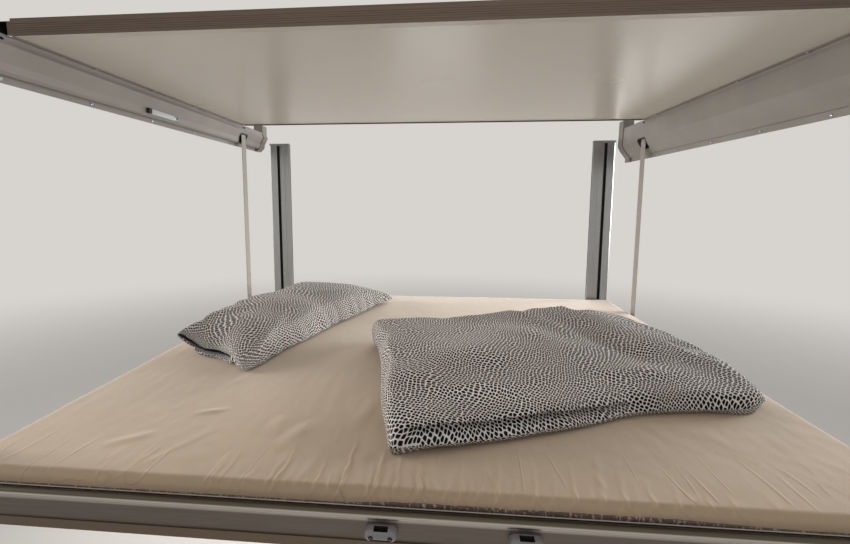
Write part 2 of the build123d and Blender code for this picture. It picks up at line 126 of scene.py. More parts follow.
# CAMERA AND LIGHT
# Columns: name, place, aim, width, height, watts, colour, spread in degrees
LIGHTS = [
    ("window_right", (3.4, 1.3, -0.35), (0.2, 0.4, -1.0), 2.0, 1.1, 30, (0.97, 0.985, 1.0), 80),
    ("window_left", (-3.4, 0.2, -0.35), (0.2, 0.1, -1.0), 2.0, 1.0, 20, (1.0, 0.975, 0.94), 80),
    ("windscreen", (0.5, 3.8, -0.25), (0.1, 0.4, -1.0), 2.6, 0.9, 38, (0.97, 0.985, 1.0), 90),
    ("near_fill", (0.0, -3.4, 0.3), (0.0, 0.2, -0.8), 3.0, 1.6, 3, (1.0, 0.95, 0.89), 180),
    ("screen_glow", (-0.05, 3.5, -1.72), (0.0, -0.4, -0.04), 0.9, 0.34, 3.2, (1.0, 0.985, 0.965), 180),
    ("side_glow", (2.3, 3.0, -0.9), (0.0, -0.4, -0.04), 1.2, 0.9, 4.5, (1.0, 0.985, 0.965), 180),
]


def place_camera():
    lens = bpy.data.cameras.new("bedside_view")
    lens.lens = 19.06
    lens.sensor_width = 36.0
    lens.shift_x = 0.0255
    lens.shift_y = -0.0185
    lens.clip_start = 0.02
    eye = bpy.data.objects.new("bedside_view", lens)
    heading, dip, lean = 0.0902, 0.1195, 0.0019
    turn = Matrix.Rotation(heading, 4, "Z") @ Matrix.Rotation(math.pi / 2 - dip, 4, "X")
    turn = turn @ Matrix.Rotation(lean, 4, "Z")
    eye.matrix_world = Matrix.Translation((0.048, -1.6875, -0.440)) @ turn
    scene.collection.objects.link(eye)
    scene.camera = eye


def hang_lights():
    for name, place, aim, width, height, watts, colour, spread in LIGHTS:
        glow = bpy.data.lights.new(name, "AREA")
        glow.shape = "RECTANGLE"
        glow.size = width
        glow.size_y = height
        glow.energy = watts
        glow.color = colour
        glow.spread = math.radians(spread)
        lamp = bpy.data.objects.new(name, glow)
        lamp.location = place
        lamp.rotation_euler = (Vector(aim) - Vector(place)).to_track_quat("-Z", "Y").to_euler()
        # The windscreen isn't mirrored in anything, and the two glows are only mirrored
        lamp.visible_glossy = name != "windscreen"
        lamp.visible_diffuse = not name.endswith("_glow")
        scene.collection.objects.link(lamp)


def light_the_room():
    """Soft light from all around, behind a pale backdrop that the camera and mirrors see."""
    scene.view_settings.view_transform = "Standard"
    world = bpy.data.worlds.new("pale_room")
    scene.world = world
    world.use_nodes = True
    tree = world.node_tree
    tree.nodes.clear()
    path = add_node(tree, "LightPath").outputs
    seen = reckon(tree, "MAXIMUM", path["Is Camera Ray"], path["Is Glossy Ray"])
    seen = reckon(tree, "MAXIMUM", seen, path["Is Transmission Ray"])
    ambient = add_node(tree, "Background", {"Color": (1.0, 0.975, 0.945, 1), "Strength": 0.44})
    backdrop = add_node(tree, "Background", {"Color": BACKDROP, "Strength": 1.0})
    mix = add_node(tree, "MixShader", {"Fac": seen, 1: ambient.outputs[0], 2: backdrop.outputs[0]})
    add_node(tree, "OutputWorld", {"Surface": mix.outputs[0]})


# FINISHES
def look(tree):
    """The sockets of a finish's shader."""
    return tree.nodes["Principled BSDF"].inputs


def new_finish(name, colour, roughness, metallic=0.0):
    finish = finishes[name] = bpy.data.materials.new(name)
    finish.use_nodes = True
    tree = finish.node_tree
    look(tree)["Base Color"].default_value = (*colour, 1)
    look(tree)["Roughness"].default_value = roughness
    look(tree)["Metallic"].default_value = metallic
    return tree


def blend_colours(tree, amount, stops):
    """Feeds the base colour from a ramp. Each stop is a place from 0 to 1 and a colour."""
    ramp = add_node(tree, "ValToRGB", {"Fac": amount})
    for step, (place, colour) in zip(ramp.color_ramp.elements, stops):
        step.position = place
        step.color = (*colour, 1)
    feed(tree, look(tree)["Base Color"], ramp.outputs["Color"])


def shades(colour, *stops):
    """Ramp stops of one colour. Each is given as a place and a factor on the colour."""
    return [(place, tuple(min(1.0, c * factor) for c in colour)) for place, factor in stops]


def vary_gloss(tree, amount, low, high):
    feed(tree, look(tree)["Roughness"], between(tree, amount, 0.3, 0.7, low, high))


def relief(tree, height, depth):
    """Bumps of the given depth in metres, on top of any already there."""
    bump = add_node(tree, "Bump", {"Distance": depth, "Height": height})
    normal = look(tree)["Normal"]
    if normal.links:
        feed(tree, bump.inputs["Normal"], normal.links[0].from_socket)
    feed(tree, normal, bump.outputs["Normal"])


def overlay(tree, mask, colour, roughness, metallic=None):
    """Lays another colour and gloss over a finish where the mask is 1."""
    for socket, value in (("Base Color", (*colour, 1)), ("Roughness", roughness), ("Metallic", metallic)):
        if value is None:
            continue
        mix = tree.nodes.new("ShaderNodeMix")
        mix.data_type = "RGBA" if socket == "Base Color" else "FLOAT"
        under, over, out = (6, 7, 2) if socket == "Base Color" else (2, 3, 0)
        target = look(tree)[socket]
        before = target.links[0].from_socket if target.links else target.default_value
        for place, source in ((under, before), (over, value), (0, mask)):
            feed(tree, mix.inputs[place], source)
        feed(tree, target, mix.outputs[out])


def plain_finish(name, colour, roughness, grain, depth, metallic=0.0, spread=0.08):
    """A finish with slight clouding, uneven gloss and a fine surface grain."""
    tree = new_finish(name, colour, roughness, metallic)
    blend_colours(tree, clouding(tree, 5.0, 5.0), shades(colour, (0.3, 1 - spread), (0.7, 1 + spread)))
    vary_gloss(tree, clouding(tree, 14.0, 3.0), roughness * 0.88, min(1.0, roughness * 1.15))
    relief(tree, clouding(tree, grain, 3.0), depth)
    return tree


def brushed_extrusion(name, colour, roughness, along):
    """Anodised aluminium with its draw lines along one axis."""
    stretch = tuple(0.02 if axis == along else 1.0 for axis in "XYZ")
    tree = new_finish(name, colour, roughness, 1.0)
    lines = clouding(tree, 700.0, 3.0, stretch)
    blend_colours(tree, lines, shades(colour, (0.25, 0.86), (0.75, 1.1)))
    vary_gloss(tree, clouding(tree, 260.0, 3.0, stretch), roughness * 0.8, roughness * 1.2)
    relief(tree, lines, 0.00012)
    return tree


def panel_laminate():
    colour = (0.66, 0.62, 0.56)
    tree = new_finish("panel_laminate", colour, 0.32)
    blend_colours(tree, clouding(tree, 1.1, 3.0), shades(colour, (0.3, 0.95), (0.7, 1.04)))
    vary_gloss(tree, clouding(tree, 2.5, 1.0), 0.25, 0.275)
    look(tree)["Specular IOR Level"].default_value = 0.35
    relief(tree, clouding(tree, 420.0, 2.0), 0.0002)


def front_rail_finish():
    """Dark taupe rail with a painted highlight along its round nose and painted shade above the nose."""
    tree = brushed_extrusion("rail_taupe", (0.205, 0.177, 0.156), 0.40, "X")
    # Bands up the rail: the foot's own brown, a painted highlight on the nose, painted shade above the nose
    for start, end, colour, roughness in (
        (-1.0856, -1.0862, (0.20, 0.155, 0.12), 0.40),
        (-1.0478, -1.0440, (0.54, 0.495, 0.455), 0.30),
        (-1.0335, -1.0312, (0.115, 0.098, 0.072), 0.40),
    ):
        overlay(tree, band_mask(tree, "Z", start, end), colour, roughness)


def guide_finish():
    """Silver extrusion, painted black deep in its slot as painted shade."""
    tree = brushed_extrusion("guide_aluminium", (0.40, 0.405, 0.41), 0.34, "Z")
    # Painted shade: black on every face deeper than the recess floor
    overlay(tree, band_mask(tree, "Y", 1.0103, 1.0106), (0.008, 0.008, 0.008), 0.7, 0.0)


def housing_paint():
    """Grey paint, with a dark joint where each end cap is pushed in."""
    tree = plain_finish("housing_paint", (0.285, 0.268, 0.245), 0.45, 380, 0.0002)
    for end in (1, -1):
        joint = band_mask(tree, "Y", 0.9024 * end, 0.9028 * end)
        overlay(tree, joint, (0.022, 0.02, 0.018), 0.8)


def webbing():
    colour = (0.41, 0.38, 0.345)
    tree = new_finish("strap_webbing", colour, 0.78)
    waves = []
    for direction, scale, distortion in (("Z", 120.0, 0.6), ("Y", 150.0, 0.0)):
        sockets = {"Vector": place_on(tree), "Scale": scale, "Distortion": distortion}
        wave = add_node(tree, "TexWave", sockets)
        wave.bands_direction = direction
        waves.append(wave.outputs["Fac"])
    weave = reckon(tree, "MULTIPLY", *waves)
    blend_colours(tree, weave, shades(colour, (0.0, 0.8), (0.8, 1.1)))
    relief(tree, weave, 0.0004)
    look(tree)["Sheen Weight"].default_value = 0.25


def sharp_creases(tree):
    """Thin crisp creases where the sheet is drawn over the bed's front edge."""
    line = reckon(tree, "SUBTRACT", clouding(tree, 15.0, 1.0, (1.0, 0.11, 0.7)), 0.5)
    line = between(tree, reckon(tree, "ABSOLUTE", line), 0.0, 0.030, 1.0, 0.0)
    patch = between(tree, reckon(tree, "SUBTRACT", clouding(tree, 6.0, 1.0), 0.5), -0.06, 0.06)
    at_edge = band_mask(tree, "Y", BED_FRONT + 0.20, BED_FRONT + 0.02)
    height = reckon(tree, "MULTIPLY", reckon(tree, "MULTIPLY", line, patch), at_edge)
    relief(tree, height, 0.0016)


def sheet_cotton():
    colour = (0.485, 0.365, 0.245)
    tree = new_finish("sheet_cotton", colour, 0.86)
    blend_colours(tree, clouding(tree, 2.2, 5.0), shades(colour, (0.3, 0.93), (0.7, 1.06)))
    relief(tree, clouding(tree, 900.0, 2.0), 0.0003)
    relief(tree, clouding(tree, 26.0, 4.0, (1.0, 0.45, 1.0)), 0.0012)
    sharp_creases(tree)
    look(tree)["Sheen Weight"].default_value = 0.35
    look(tree)["Sheen Roughness"].default_value = 0.5


def hem_elastic():
    """Brown elastic with painted highlights on its gathers."""
    tree = plain_finish("hem_elastic", (0.12, 0.080, 0.066), 0.34, 700, 0.0006)
    gathers = clouding(tree, 170.0, 2.0, (1.0, 1.0, 0.4))
    # Painted highlights: paler, glossier streaks on the gathers
    overlay(tree, between(tree, gathers, 0.52, 0.66), (0.42, 0.33, 0.29), 0.28)
    relief(tree, gathers, 0.0020)


def print_cotton():
    """Off-white cotton with small black dots, parted by thin lines, in rows that wander."""
    tree = new_finish("print_cotton", (0.66, 0.62, 0.57), 0.88)
    cloth = add_node(tree, "TexCoord").outputs["UV"]
    drift = add_node(tree, "TexNoise", {"Vector": cloth, "Scale": 5.2, "Detail": 1.0})
    drift.noise_dimensions = "2D"
    push = reckon(tree, "SUBTRACT", drift.outputs["Color"], (0.5, 0.5, 0.5), kind="VectorMath")
    pushed = reckon(tree, "MULTIPLY_ADD", push, (0.075, 0.075, 0.0), cloth, kind="VectorMath")
    sockets = {"Vector": pushed, "Scale": (110.0, 86.0, 1.0), "Rotation": (0.0, 0.0, 0.62)}
    rows = add_node(tree, "Mapping", sockets).outputs["Vector"]
    from_middle, from_edge = (
        add_node(tree, "TexVoronoi", {"Vector": rows, "Scale": 1.0, "Randomness": 0.46}) for _ in range(2)
    )
    from_edge.feature = "DISTANCE_TO_EDGE"
    from_middle.voronoi_dimensions = from_edge.voronoi_dimensions = "2D"
    distance = from_middle.outputs["Distance"], from_edge.outputs["Distance"]
    rounded = reckon(tree, "MULTIPLY_ADD", distance[0], -0.5, distance[1])
    dot = between(tree, rounded, -0.122, -0.044)
    blend_colours(tree, dot, [(0.0, (0.74, 0.70, 0.65)), (1.0, (0.005, 0.007, 0.010))])
    relief(tree, clouding(tree, 900.0, 2.0), 0.0003)
    look(tree)["Specular IOR Level"].default_value = 0.15


# Columns: name, colour, roughness, scale of the grain, its depth
PLAIN_FINISHES = [
    ("far_edge_brown", (0.045, 0.03, 0.024), 0.5, 300, 0.0001),
    ("cap_plastic", (0.21, 0.19, 0.17), 0.5, 500, 0.0003),
    ("grey_plastic", (0.27, 0.275, 0.28), 0.5, 500, 0.0003),
    ("black_plastic", (0.018, 0.018, 0.018), 0.5, 500, 0.0003),
    ("catch_plastic", (0.55, 0.58, 0.60), 0.4, 500, 0.0002),
    ("corner_casting", (0.11, 0.095, 0.08), 0.5, 300, 0.0004),
    ("socket_plastic", (0.25, 0.232, 0.242), 0.24, 400, 0.0004),
    ("foam_cover", (0.42, 0.38, 0.33), 0.9, 800, 0.0004),
    # Near-black painted shade for the inside of the left pillow's open case end
    ("pocket_cotton", (0.030, 0.030, 0.034), 0.95, 900, 0.0003),
    # Near-black painted shade inside the housings and down in the socket screw wells
    ("foam_strip", (0.012, 0.012, 0.012), 0.9, 500, 0.0004),
    # Painted highlight on the lips of the front fascia and of the bed's front rail
    ("pale_edge", (0.62, 0.58, 0.53), 0.4, 500, 0.0001),
]
# Columns: name, colour, roughness, axis of the draw lines
BRUSHED_FINISHES = [
    ("fascia_brown", (0.15, 0.115, 0.095), 0.42, "X"),
    ("zinc_steel", (0.50, 0.50, 0.49), 0.52, "Z"),
    ("shaft_steel", (0.5, 0.5, 0.5), 0.3, "Y"),
    ("rear_rail_taupe", (0.12, 0.10, 0.085), 0.45, "X"),
    ("side_rail_taupe", (0.12, 0.10, 0.085), 0.45, "Y"),
]
# The finish of each solid that stays in view. A name with {side} or {row} stands for one at each.
WORN = {
    "panel_laminate": ["ceiling_panel"],
    "base_board": ["bed_base"],
    "fascia_brown": ["front_fascia"],
    "far_edge_brown": ["rear_fascia"],
    "catch_plastic": ["catch_strip"],
    "black_plastic": ["catch_block", "slide_shoe_{side}"],
    "rail_taupe": ["bed_front_rail"],
    "rear_rail_taupe": ["bed_rear_rail"],
    "side_rail_taupe": ["bed_side_rail_{side}"],
    "housing_paint": ["housing_{side}"],
    "shaft_steel": ["lift_shaft_{side}"],
    "guide_aluminium": ["guide_rail_{side}"],
    "grey_plastic": ["guide_cap_{side}_top", "guide_cap_{side}_bottom"],
    "cap_plastic": ["housing_cap_{side}_{row}"],
    "zinc_steel": ["strap_anchor_{side}_{row}"],
    "corner_casting": ["bed_corner_{side}_{row}"],
}


def make_finishes():
    for make in (
        panel_laminate, front_rail_finish, guide_finish, housing_paint, webbing, sheet_cotton, hem_elastic,
        print_cotton,
    ):
        make()
    for values in PLAIN_FINISHES:
        plain_finish(*values)
    plain_finish("base_board", (0.60, 0.56, 0.50), 0.66, 420, 0.0002, spread=0.04)
    plain_finish("zinc_screw", (0.50, 0.58, 0.68), 0.28, 900, 0.0001, metallic=1.0)
    for values in BRUSHED_FINISHES:
        brushed_extrusion(*values)


def dress_nodes():
    for finish, names in WORN.items():
        for name in names:
            for side, row in CORNERS:
                slots = nodes[name.format(side=side, row=row)].data.materials
                slots.clear()
                slots.append(finishes[finish])


def lay_floor():
    """A wide floor that fades into the backdrop."""
    shape = new_grid(1, 1, 30.0)
    bmesh.ops.translate(shape, verts=shape.verts, vec=(0, 0, FLOOR_HEIGHT))
    tree = new_finish("pale_floor", (0.76, 0.74, 0.71), 0.9)
    plain = tree.nodes["Principled BSDF"]
    away = reckon(tree, "LENGTH", place_on(tree), kind="VectorMath")
    glow = add_node(tree, "Emission", {"Color": BACKDROP})
    fade = between(tree, away, 3.0, 9.0, smooth=True)
    mix = add_node(tree, "MixShader", {"Fac": fade, 1: plain.outputs[0], 2: glow.outputs[0]})
    feed(tree, tree.nodes["Material Output"].inputs["Surface"], mix.outputs[0])
    floor = new_piece("floor", shape, "pale_floor", None, smooth=False)


# SHAPING HELPERS
def new_grid(columns, rows, size=0.5):
    shape = bmesh.new()
    bmesh.ops.create_grid(shape, x_segments=columns, y_segments=rows, size=size)
    return shape


def new_piece(name, shape, finish, body, smooth=True):
    """Turns a bmesh into a piece that rides on a body."""
    mesh = bpy.data.meshes.new(name)
    shape.to_mesh(mesh)
    shape.free()
    mesh.materials.append(finishes[finish])
    if smooth:
        mesh.shade_smooth()
    piece = bpy.data.objects.new(name, mesh)
    scene.collection.objects.link(piece)
    if body:
        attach(piece, body)
    return piece


def thicken(piece, name, thickness, offset=0.0):
    skin = piece.modifiers.new(name, "SOLIDIFY")
    skin.thickness = thickness
    skin.offset = offset


def round_edges(shape, edges, reach, segments):
    bmesh.ops.bevel(
        shape, geom=edges, offset=reach, segments=segments, profile=0.5, affect="EDGES", material=-1
    )


def add_box(shape, low, high, soften=0.0, segments=2):
    """A block between two corners with its edges rounded."""
    made = bmesh.ops.create_cube(shape, size=1.0)["verts"]
    low, high = Vector(low), Vector(high)
    bmesh.ops.scale(shape, vec=high - low, verts=made)
    bmesh.ops.translate(shape, vec=(low + high) / 2, verts=made)
    if soften:
        round_edges(shape, list({e for v in made for e in v.link_edges}), soften, segments)


def rolling(x, y, z=0.0):
    """Smooth noise that depends only on the place."""
    return noise.noise(Vector((x, y, z)))


def bell(off):
    """A smooth hump that is 1 in its middle."""
    return math.exp(-off * off)


def turned(dx, dy, degrees):
    """An offset, measured along a direction and across it."""
    c, s = math.cos(math.radians(degrees)), math.sin(math.radians(degrees))
    return dx * c + dy * s, dy * c - dx * s


def read_off(table, at):
    """The second column of a table at a value of its first, on straight lines."""
    for (start, low), (end, high) in zip(table, table[1:]):
        if at <= end:
            return low + (high - low) * (at - start) / (end - start)
    return table[-1][1]


def soft_edge(run, reach, rise):
    """Place and height on a quarter round, for a cloth that has run so far from its seam."""
    arc = math.pi / 2 * (reach + rise) / 2
    if run >= arc:
        return reach + run - arc, 1.0
    turn = run / arc * math.pi / 2
    return reach * (1 - math.cos(turn)), math.sin(turn)


def along_curve(points, share):
    """The place a given share of the way along a smooth curve through the points."""
    reach = [0.0]
    for start, end in zip(points, points[1:]):
        reach.append(reach[-1] + (end - start).length)
    want = share * reach[-1]
    i = min(len(points) - 2, sum(1 for r in reach[1:-1] if r < want))
    t = (want - reach[i]) / (reach[i + 1] - reach[i])
    before, start = points[max(i - 1, 0)], points[i]
    end, after = points[i + 1], points[min(i + 2, len(points) - 1)]
    bend_in, bend_out = (end - before) / 2, (after - start) / 2
    return (
        start * (2 * t**3 - 3 * t**2 + 1) + bend_in * (t**3 - 2 * t**2 + t)
        + end * (3 * t**2 - 2 * t**3) + bend_out * (t**3 - t**2)
    )


def steps_along(points, steps):
    return [along_curve(points, i / steps) for i in range(steps + 1)]


# MATTRESS AND FITTED SHEET
# Folds that the sheet makes over the bed's front edge.
# Columns: x at the edge, lean to the right as it runs back, reach back, half width, height
EDGE_FOLDS = [
    (-0.3, 0.06, 0.16, 0.005, 0.0018), (-0.283, 0.0, 0.16, 0.0036, 0.0026), (-0.262, 0.1, 0.1, 0.007, 0.0014),
    (-0.243, 0.14, 0.14, 0.01, 0.0022), (-0.226, 0.05, 0.07, 0.0035, 0.0012),
    (-0.2, 0.0, 0.11, 0.0036, 0.0024), (-0.17, 0.1, 0.12, 0.012, 0.0018), (-0.149, 0.0, 0.2, 0.0034, 0.0036),
    (-0.138, 0.03, 0.1, 0.006, 0.0016), (-0.118, 0.0, 0.22, 0.014, 0.0022),
    (-0.092, -0.06, 0.11, 0.0046, 0.0028), (-0.083, 0.04, 0.18, 0.0038, 0.0036),
    (-0.066, 0.08, 0.09, 0.004, 0.0018), (-0.055, 0.0, 0.1, 0.0036, 0.0024),
    (-0.041, 0.02, 0.19, 0.0036, 0.003), (-0.026, 0.05, 0.12, 0.009, 0.0018),
    (-0.014, 0.0, 0.07, 0.003, 0.002), (0.004, 0.01, 0.17, 0.0034, 0.0036),
    (0.017, 0.06, 0.07, 0.0032, 0.002), (0.034, 0.02, 0.12, 0.006, 0.002), (0.06, 0.14, 0.1, 0.0034, 0.0022),
    (0.088, 0.03, 0.16, 0.0042, 0.0026), (0.104, 0.1, 0.06, 0.003, 0.0016),
    (0.121, 0.16, 0.12, 0.004, 0.0024), (0.16, 0.1, 0.15, 0.0045, 0.0028), (0.186, 0.2, 0.08, 0.0034, 0.002),
    (0.205, 0.12, 0.16, 0.011, 0.0018), (0.228, 0.14, 0.14, 0.004, 0.0026),
    (0.262, 0.22, 0.09, 0.0036, 0.002), (0.301, 0.18, 0.14, 0.004, 0.0026), (0.33, 0.2, 0.1, 0.008, 0.002),
    (0.352, 0.22, 0.19, 0.006, 0.0034), (0.391, 0.26, 0.14, 0.005, 0.003),
    (0.415, 0.22, 0.07, 0.0034, 0.0018), (0.442, 0.24, 0.1, 0.004, 0.0024), (0.486, 0.3, 0.13, 0.005, 0.0028),
    (0.512, 0.26, 0.06, 0.0034, 0.0016), (0.545, 0.28, 0.1, 0.0045, 0.002),
    (0.588, 0.3, 0.08, 0.0045, 0.0022), (0.66, 0.3, 0.06, 0.006, 0.0014), (-0.345, 0.05, 0.09, 0.006, 0.0014),
    (-0.42, 0.05, 0.09, 0.009, 0.0014), (-0.55, 0.0, 0.12, 0.012, 0.0012), (0.79, 0.25, 0.08, 0.01, 0.0012),
]
# Small puckers on the open part of the sheet.
# Columns: x, distance from the front edge, direction in degrees, length, half width, height
SHEET_PUCKERS = [
    (-0.566, 0.289, 20, 0.09, 0.012, 0.003), (-0.69, 0.137, 38, 0.13, 0.016, 0.0026),
    (-0.56, 0.1, 62, 0.3, 0.006, 0.0014), (-0.586, 0.499, 60, 0.05, 0.008, 0.002),
    (-0.368, 0.921, 5, 0.1, 0.01, 0.0028), (-0.355, 0.955, 0, 0.06, 0.008, 0.002),
    (-0.3, 0.19, 75, 0.16, 0.028, 0.003), (-0.36, 0.23, 100, 0.12, 0.02, 0.0022),
    (-0.72, 0.42, 30, 0.18, 0.018, 0.0014), (-0.15, 0.33, 84, 0.2, 0.03, 0.0024),
    (0.7, 0.25, 120, 0.22, 0.03, 0.0014), (-0.86, 0.6, 15, 0.16, 0.016, 0.0012),
]
# Where the sheet's grid is dense: share of the grid's lines, share of the cloth
SHEET_COLUMNS = [(0.0, 0.0), (0.02, 0.015), (0.11, 0.28), (0.88, 0.83), (0.98, 0.985), (1.0, 1.0)]
SHEET_ROWS = [(0.0, 0.0), (0.13, 0.026), (0.5, 0.19), (0.95, 0.976), (1.0, 1.0)]
# The sheet's turn over the mattress's edge, its depth, and its corners seen from above
SHEET_TURN = 0.016
SHEET_DROP = 0.0285
SHEET_CORNER = 0.045


def fold_height(x, back):
    """How far the folds of the front edge lift the sheet."""
    lift = 0.0
    for start, lean, reach, half, height in EDGE_FOLDS:
        run = back / reach
        if run > 1.0:
            continue
        off = x - start - lean * back - 0.006 * rolling(back * 30.0, start * 40.0)
        width = half * (0.85 + 0.75 * run)
        if abs(off) < 3 * width:
            fade = (1 - run) ** 1.2 * min(1.0, 0.55 + 6 * run)
            lift += height * fade * bell(off / width)
    for pucker_x, pucker_back, turn, length, half, height in SHEET_PUCKERS:
        along, across = turned(x - pucker_x, back - pucker_back, turn)
        along /= length / 2
        if abs(along) < 1.0 and abs(across) < 3 * half:
            lift += height * (1 - along * along) * bell(across / half)
    return lift


def slanting_creases(x, drop):
    """Creases that run down and outwards from each sharp fold, on the sheet's front face."""
    lift = 0.0
    for start, lean, _, half, height in EDGE_FOLDS:
        if half < 0.006 and height > 0.0018:
            for slope in (0.75 + 8 * lean * height * 100, -0.62):
                off = (x - start - slope * drop) / 0.0026
                if abs(off) < 3:
                    lift += 1.15 * height * bell(off)
    return lift


def lay_mattress():
    """The foam under the sheet, shut on every side."""
    low, high = mattress_low, mattress_high
    inset, sink = 0.004, 0.006
    shape = bmesh.new()
    add_box(shape, (low.x + inset, low.y + inset, low.z), (high.x - inset, high.y - inset, high.z - sink))
    upright = [e for e in shape.edges if abs(e.verts[0].co.z - e.verts[1].co.z) > 0.01]
    round_edges(shape, upright, 0.04, 6)
    rims = [
        e for e in shape.edges
        if abs(e.verts[0].co.z - e.verts[1].co.z) < 1e-5 and len(e.link_faces) == 2
        and abs(e.link_faces[0].normal.z) != abs(e.link_faces[1].normal.z)
    ]
    round_edges(shape, rims, 0.012, 3)
    foam = new_piece("mattress_foam", shape, "foam_cover", "bed")
    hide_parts("mattress")


def drape(x, y, width, length):
    """Where a place on the flat cloth comes to lie: down at the sides and round at the corners."""
    arc = SHEET_TURN * math.pi / 2
    core_x = min(abs(x), width / 2 - SHEET_TURN)
    core_y = min(abs(y), length / 2 - SHEET_TURN)
    over_x, over_y = abs(x) - core_x, abs(y) - core_y
    over = max(over_x, over_y)
    out, down = Vector((0.0, 0.0)), 0.0
    if over > 0:
        turn = min(over / arc, 1.0) * math.pi / 2
        reach = SHEET_TURN * math.sin(turn)
        down = SHEET_TURN * (1 - math.cos(turn)) + max(0.0, over - arc)
        out = Vector((reach * min(1.0, over_x / over), reach * min(1.0, over_y / over)))
    spot = Vector((core_x + out.x, core_y + out.y))
    corner = Vector((width / 2 - SHEET_CORNER, length / 2 - SHEET_CORNER))
    past = spot - corner
    if past.x > 0 and past.y > 0 and past.length > 1e-6:
        spot = corner + past.normalized() * max(past.x, past.y)
    return Vector((math.copysign(spot.x, x), math.copysign(spot.y, y), -down))


def wrinkle(spot, width, length):
    """Moves a place on the draped sheet by its folds, puckers and fine unevenness."""
    x, y = spot.x, spot.y
    back = y + length / 2
    down = -spot.z
    edge_tuck = 0.0008 * rolling(x * 60.0, y * 60.0, 2.0)
    if down < 0.004:
        settle = 0.0016 * rolling(x * 2.3, y * 2.3, 3.0) + 0.0009 * rolling(x * 7.0, y * 6.0, 9.0)
        fine = 0.0005 * rolling(x * 34.0, y * 22.0, 5.0)
        spot.z += fold_height(x, max(0.0, back)) + settle + fine + 0.001
        return
    fade = 1.0 - 0.55 * min(1.0, down / SHEET_DROP)
    if back < 0.02:
        slant = x + down * 0.5 * math.sin(x * 37.0)
        crease = fold_height(slant, 0.0) * 0.75 + 0.0012 * rolling(x * 38.0, down * 30.0, 6.0)
        crease += slanting_creases(x, down) * (1 - down / SHEET_DROP)
        spot.y -= (crease + 0.001) * fade + edge_tuck + 0.0008
    elif back > length - 0.02:
        spot.y += 0.001 + edge_tuck
    if abs(x) > width / 2 - 0.02:
        spot.x += math.copysign(0.0008 + edge_tuck * 0.5, x)


def lay_sheet():
    """Fitted sheet: a grid over the top that turns down the four sides to its hem."""
    low, high = mattress_low, mattress_high
    width, length = high.x - low.x, high.y - low.y
    side = SHEET_TURN * math.pi / 2 + SHEET_DROP - SHEET_TURN
    flat_w, flat_l = width - 2 * SHEET_TURN + 2 * side, length - 2 * SHEET_TURN + 2 * side
    shape = new_grid(660, 132)
    cloth = shape.loops.layers.uv.new("cloth")
    for v in shape.verts:
        v.co.x = read_off(SHEET_COLUMNS, v.co.x + 0.5) - 0.5
        v.co.y = read_off(SHEET_ROWS, v.co.y + 0.5) - 0.5
    for face in shape.faces:
        for loop in face.loops:
            loop[cloth].uv = (loop.vert.co.x * flat_w, loop.vert.co.y * flat_l)
    for v in shape.verts:
        v.co = drape(v.co.x * flat_w, v.co.y * flat_l, width, length)
        wrinkle(v.co, width, length)
    middle = ((low.x + high.x) / 2, (low.y + high.y) / 2, high.z)
    bmesh.ops.translate(shape, verts=shape.verts, vec=middle)
    sheet = new_piece("fitted_sheet", shape, "sheet_cotton", "bed")
    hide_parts("mattress")


def sew_hem():
    """Gathered dark elastic along the sheet's lower edge at the front."""
    low, high = mattress_low, mattress_high
    shape = new_grid(900, 8)
    for v in shape.verts:
        across = v.co.y + 0.5
        x = v.co.x * (high.x - low.x - 0.10)
        open_part = max(0.0, min(1.0, (x + 0.16) * 8)) * max(0.0, min(1.0, (0.68 - x) * 5))
        gather = 0.0016 * rolling(x * 150.0, across * 1.5) + 0.0009 * rolling(x * 420.0, across * 3.0, 4.0)
        out = 0.0014 + (0.0012 + gather) * math.sin(across * math.pi)
        droop = 0.0007 * rolling(x * 9.0, 1.0) * open_part
        height = (0.0020 + 0.0078 * open_part) * (1 - across)
        v.co = Vector((x, low.y - out, high.z - 0.0292 + height + droop))
    hem = new_piece("sheet_hem", shape, "hem_elastic", "bed")
    thicken(hem, "hem_thickness", 0.0008, -1.0)


# PILLOWS
# The upper skin of a cover lies this far to the right in the print, and the lower one to the left
SKIN_PLACE = 3.0
# All seams have these columns: x, distance from the bed's front edge, height over the bed
LEFT_FRONT_SEAM = [
    (-0.597, 0.565, 0.006), (-0.572, 0.617, 0.007), (-0.552, 0.707, 0.008), (-0.535, 0.799, 0.008),
    (-0.495, 0.914, 0.008), (-0.457, 1.055, 0.009), (-0.435, 1.15, 0.009), (-0.375, 1.3, 0.01),
    (-0.311, 1.514, 0.01), (-0.24, 1.685, 0.01),
]
LEFT_BACK_SEAM = [
    (-0.925, 0.725, 0.076), (-0.935, 0.85, 0.072), (-0.925, 1.0, 0.068), (-0.865, 1.26, 0.064),
    (-0.76, 1.51, 0.058), (-0.69, 1.69, 0.05),
]
LEFT_NEAR_SEAM = [
    (-0.597, 0.565, 0.006), (-0.68, 0.634, 0.006), (-0.755, 0.684, 0.006), (-0.812, 0.694, 0.01),
    (-0.872, 0.718, 0.036), (-0.925, 0.725, 0.076),
]
LEFT_FAR_SEAM = [(-0.24, 1.685, 0.01), (-0.395, 1.655, 0.022), (-0.54, 1.655, 0.034), (-0.69, 1.69, 0.05)]
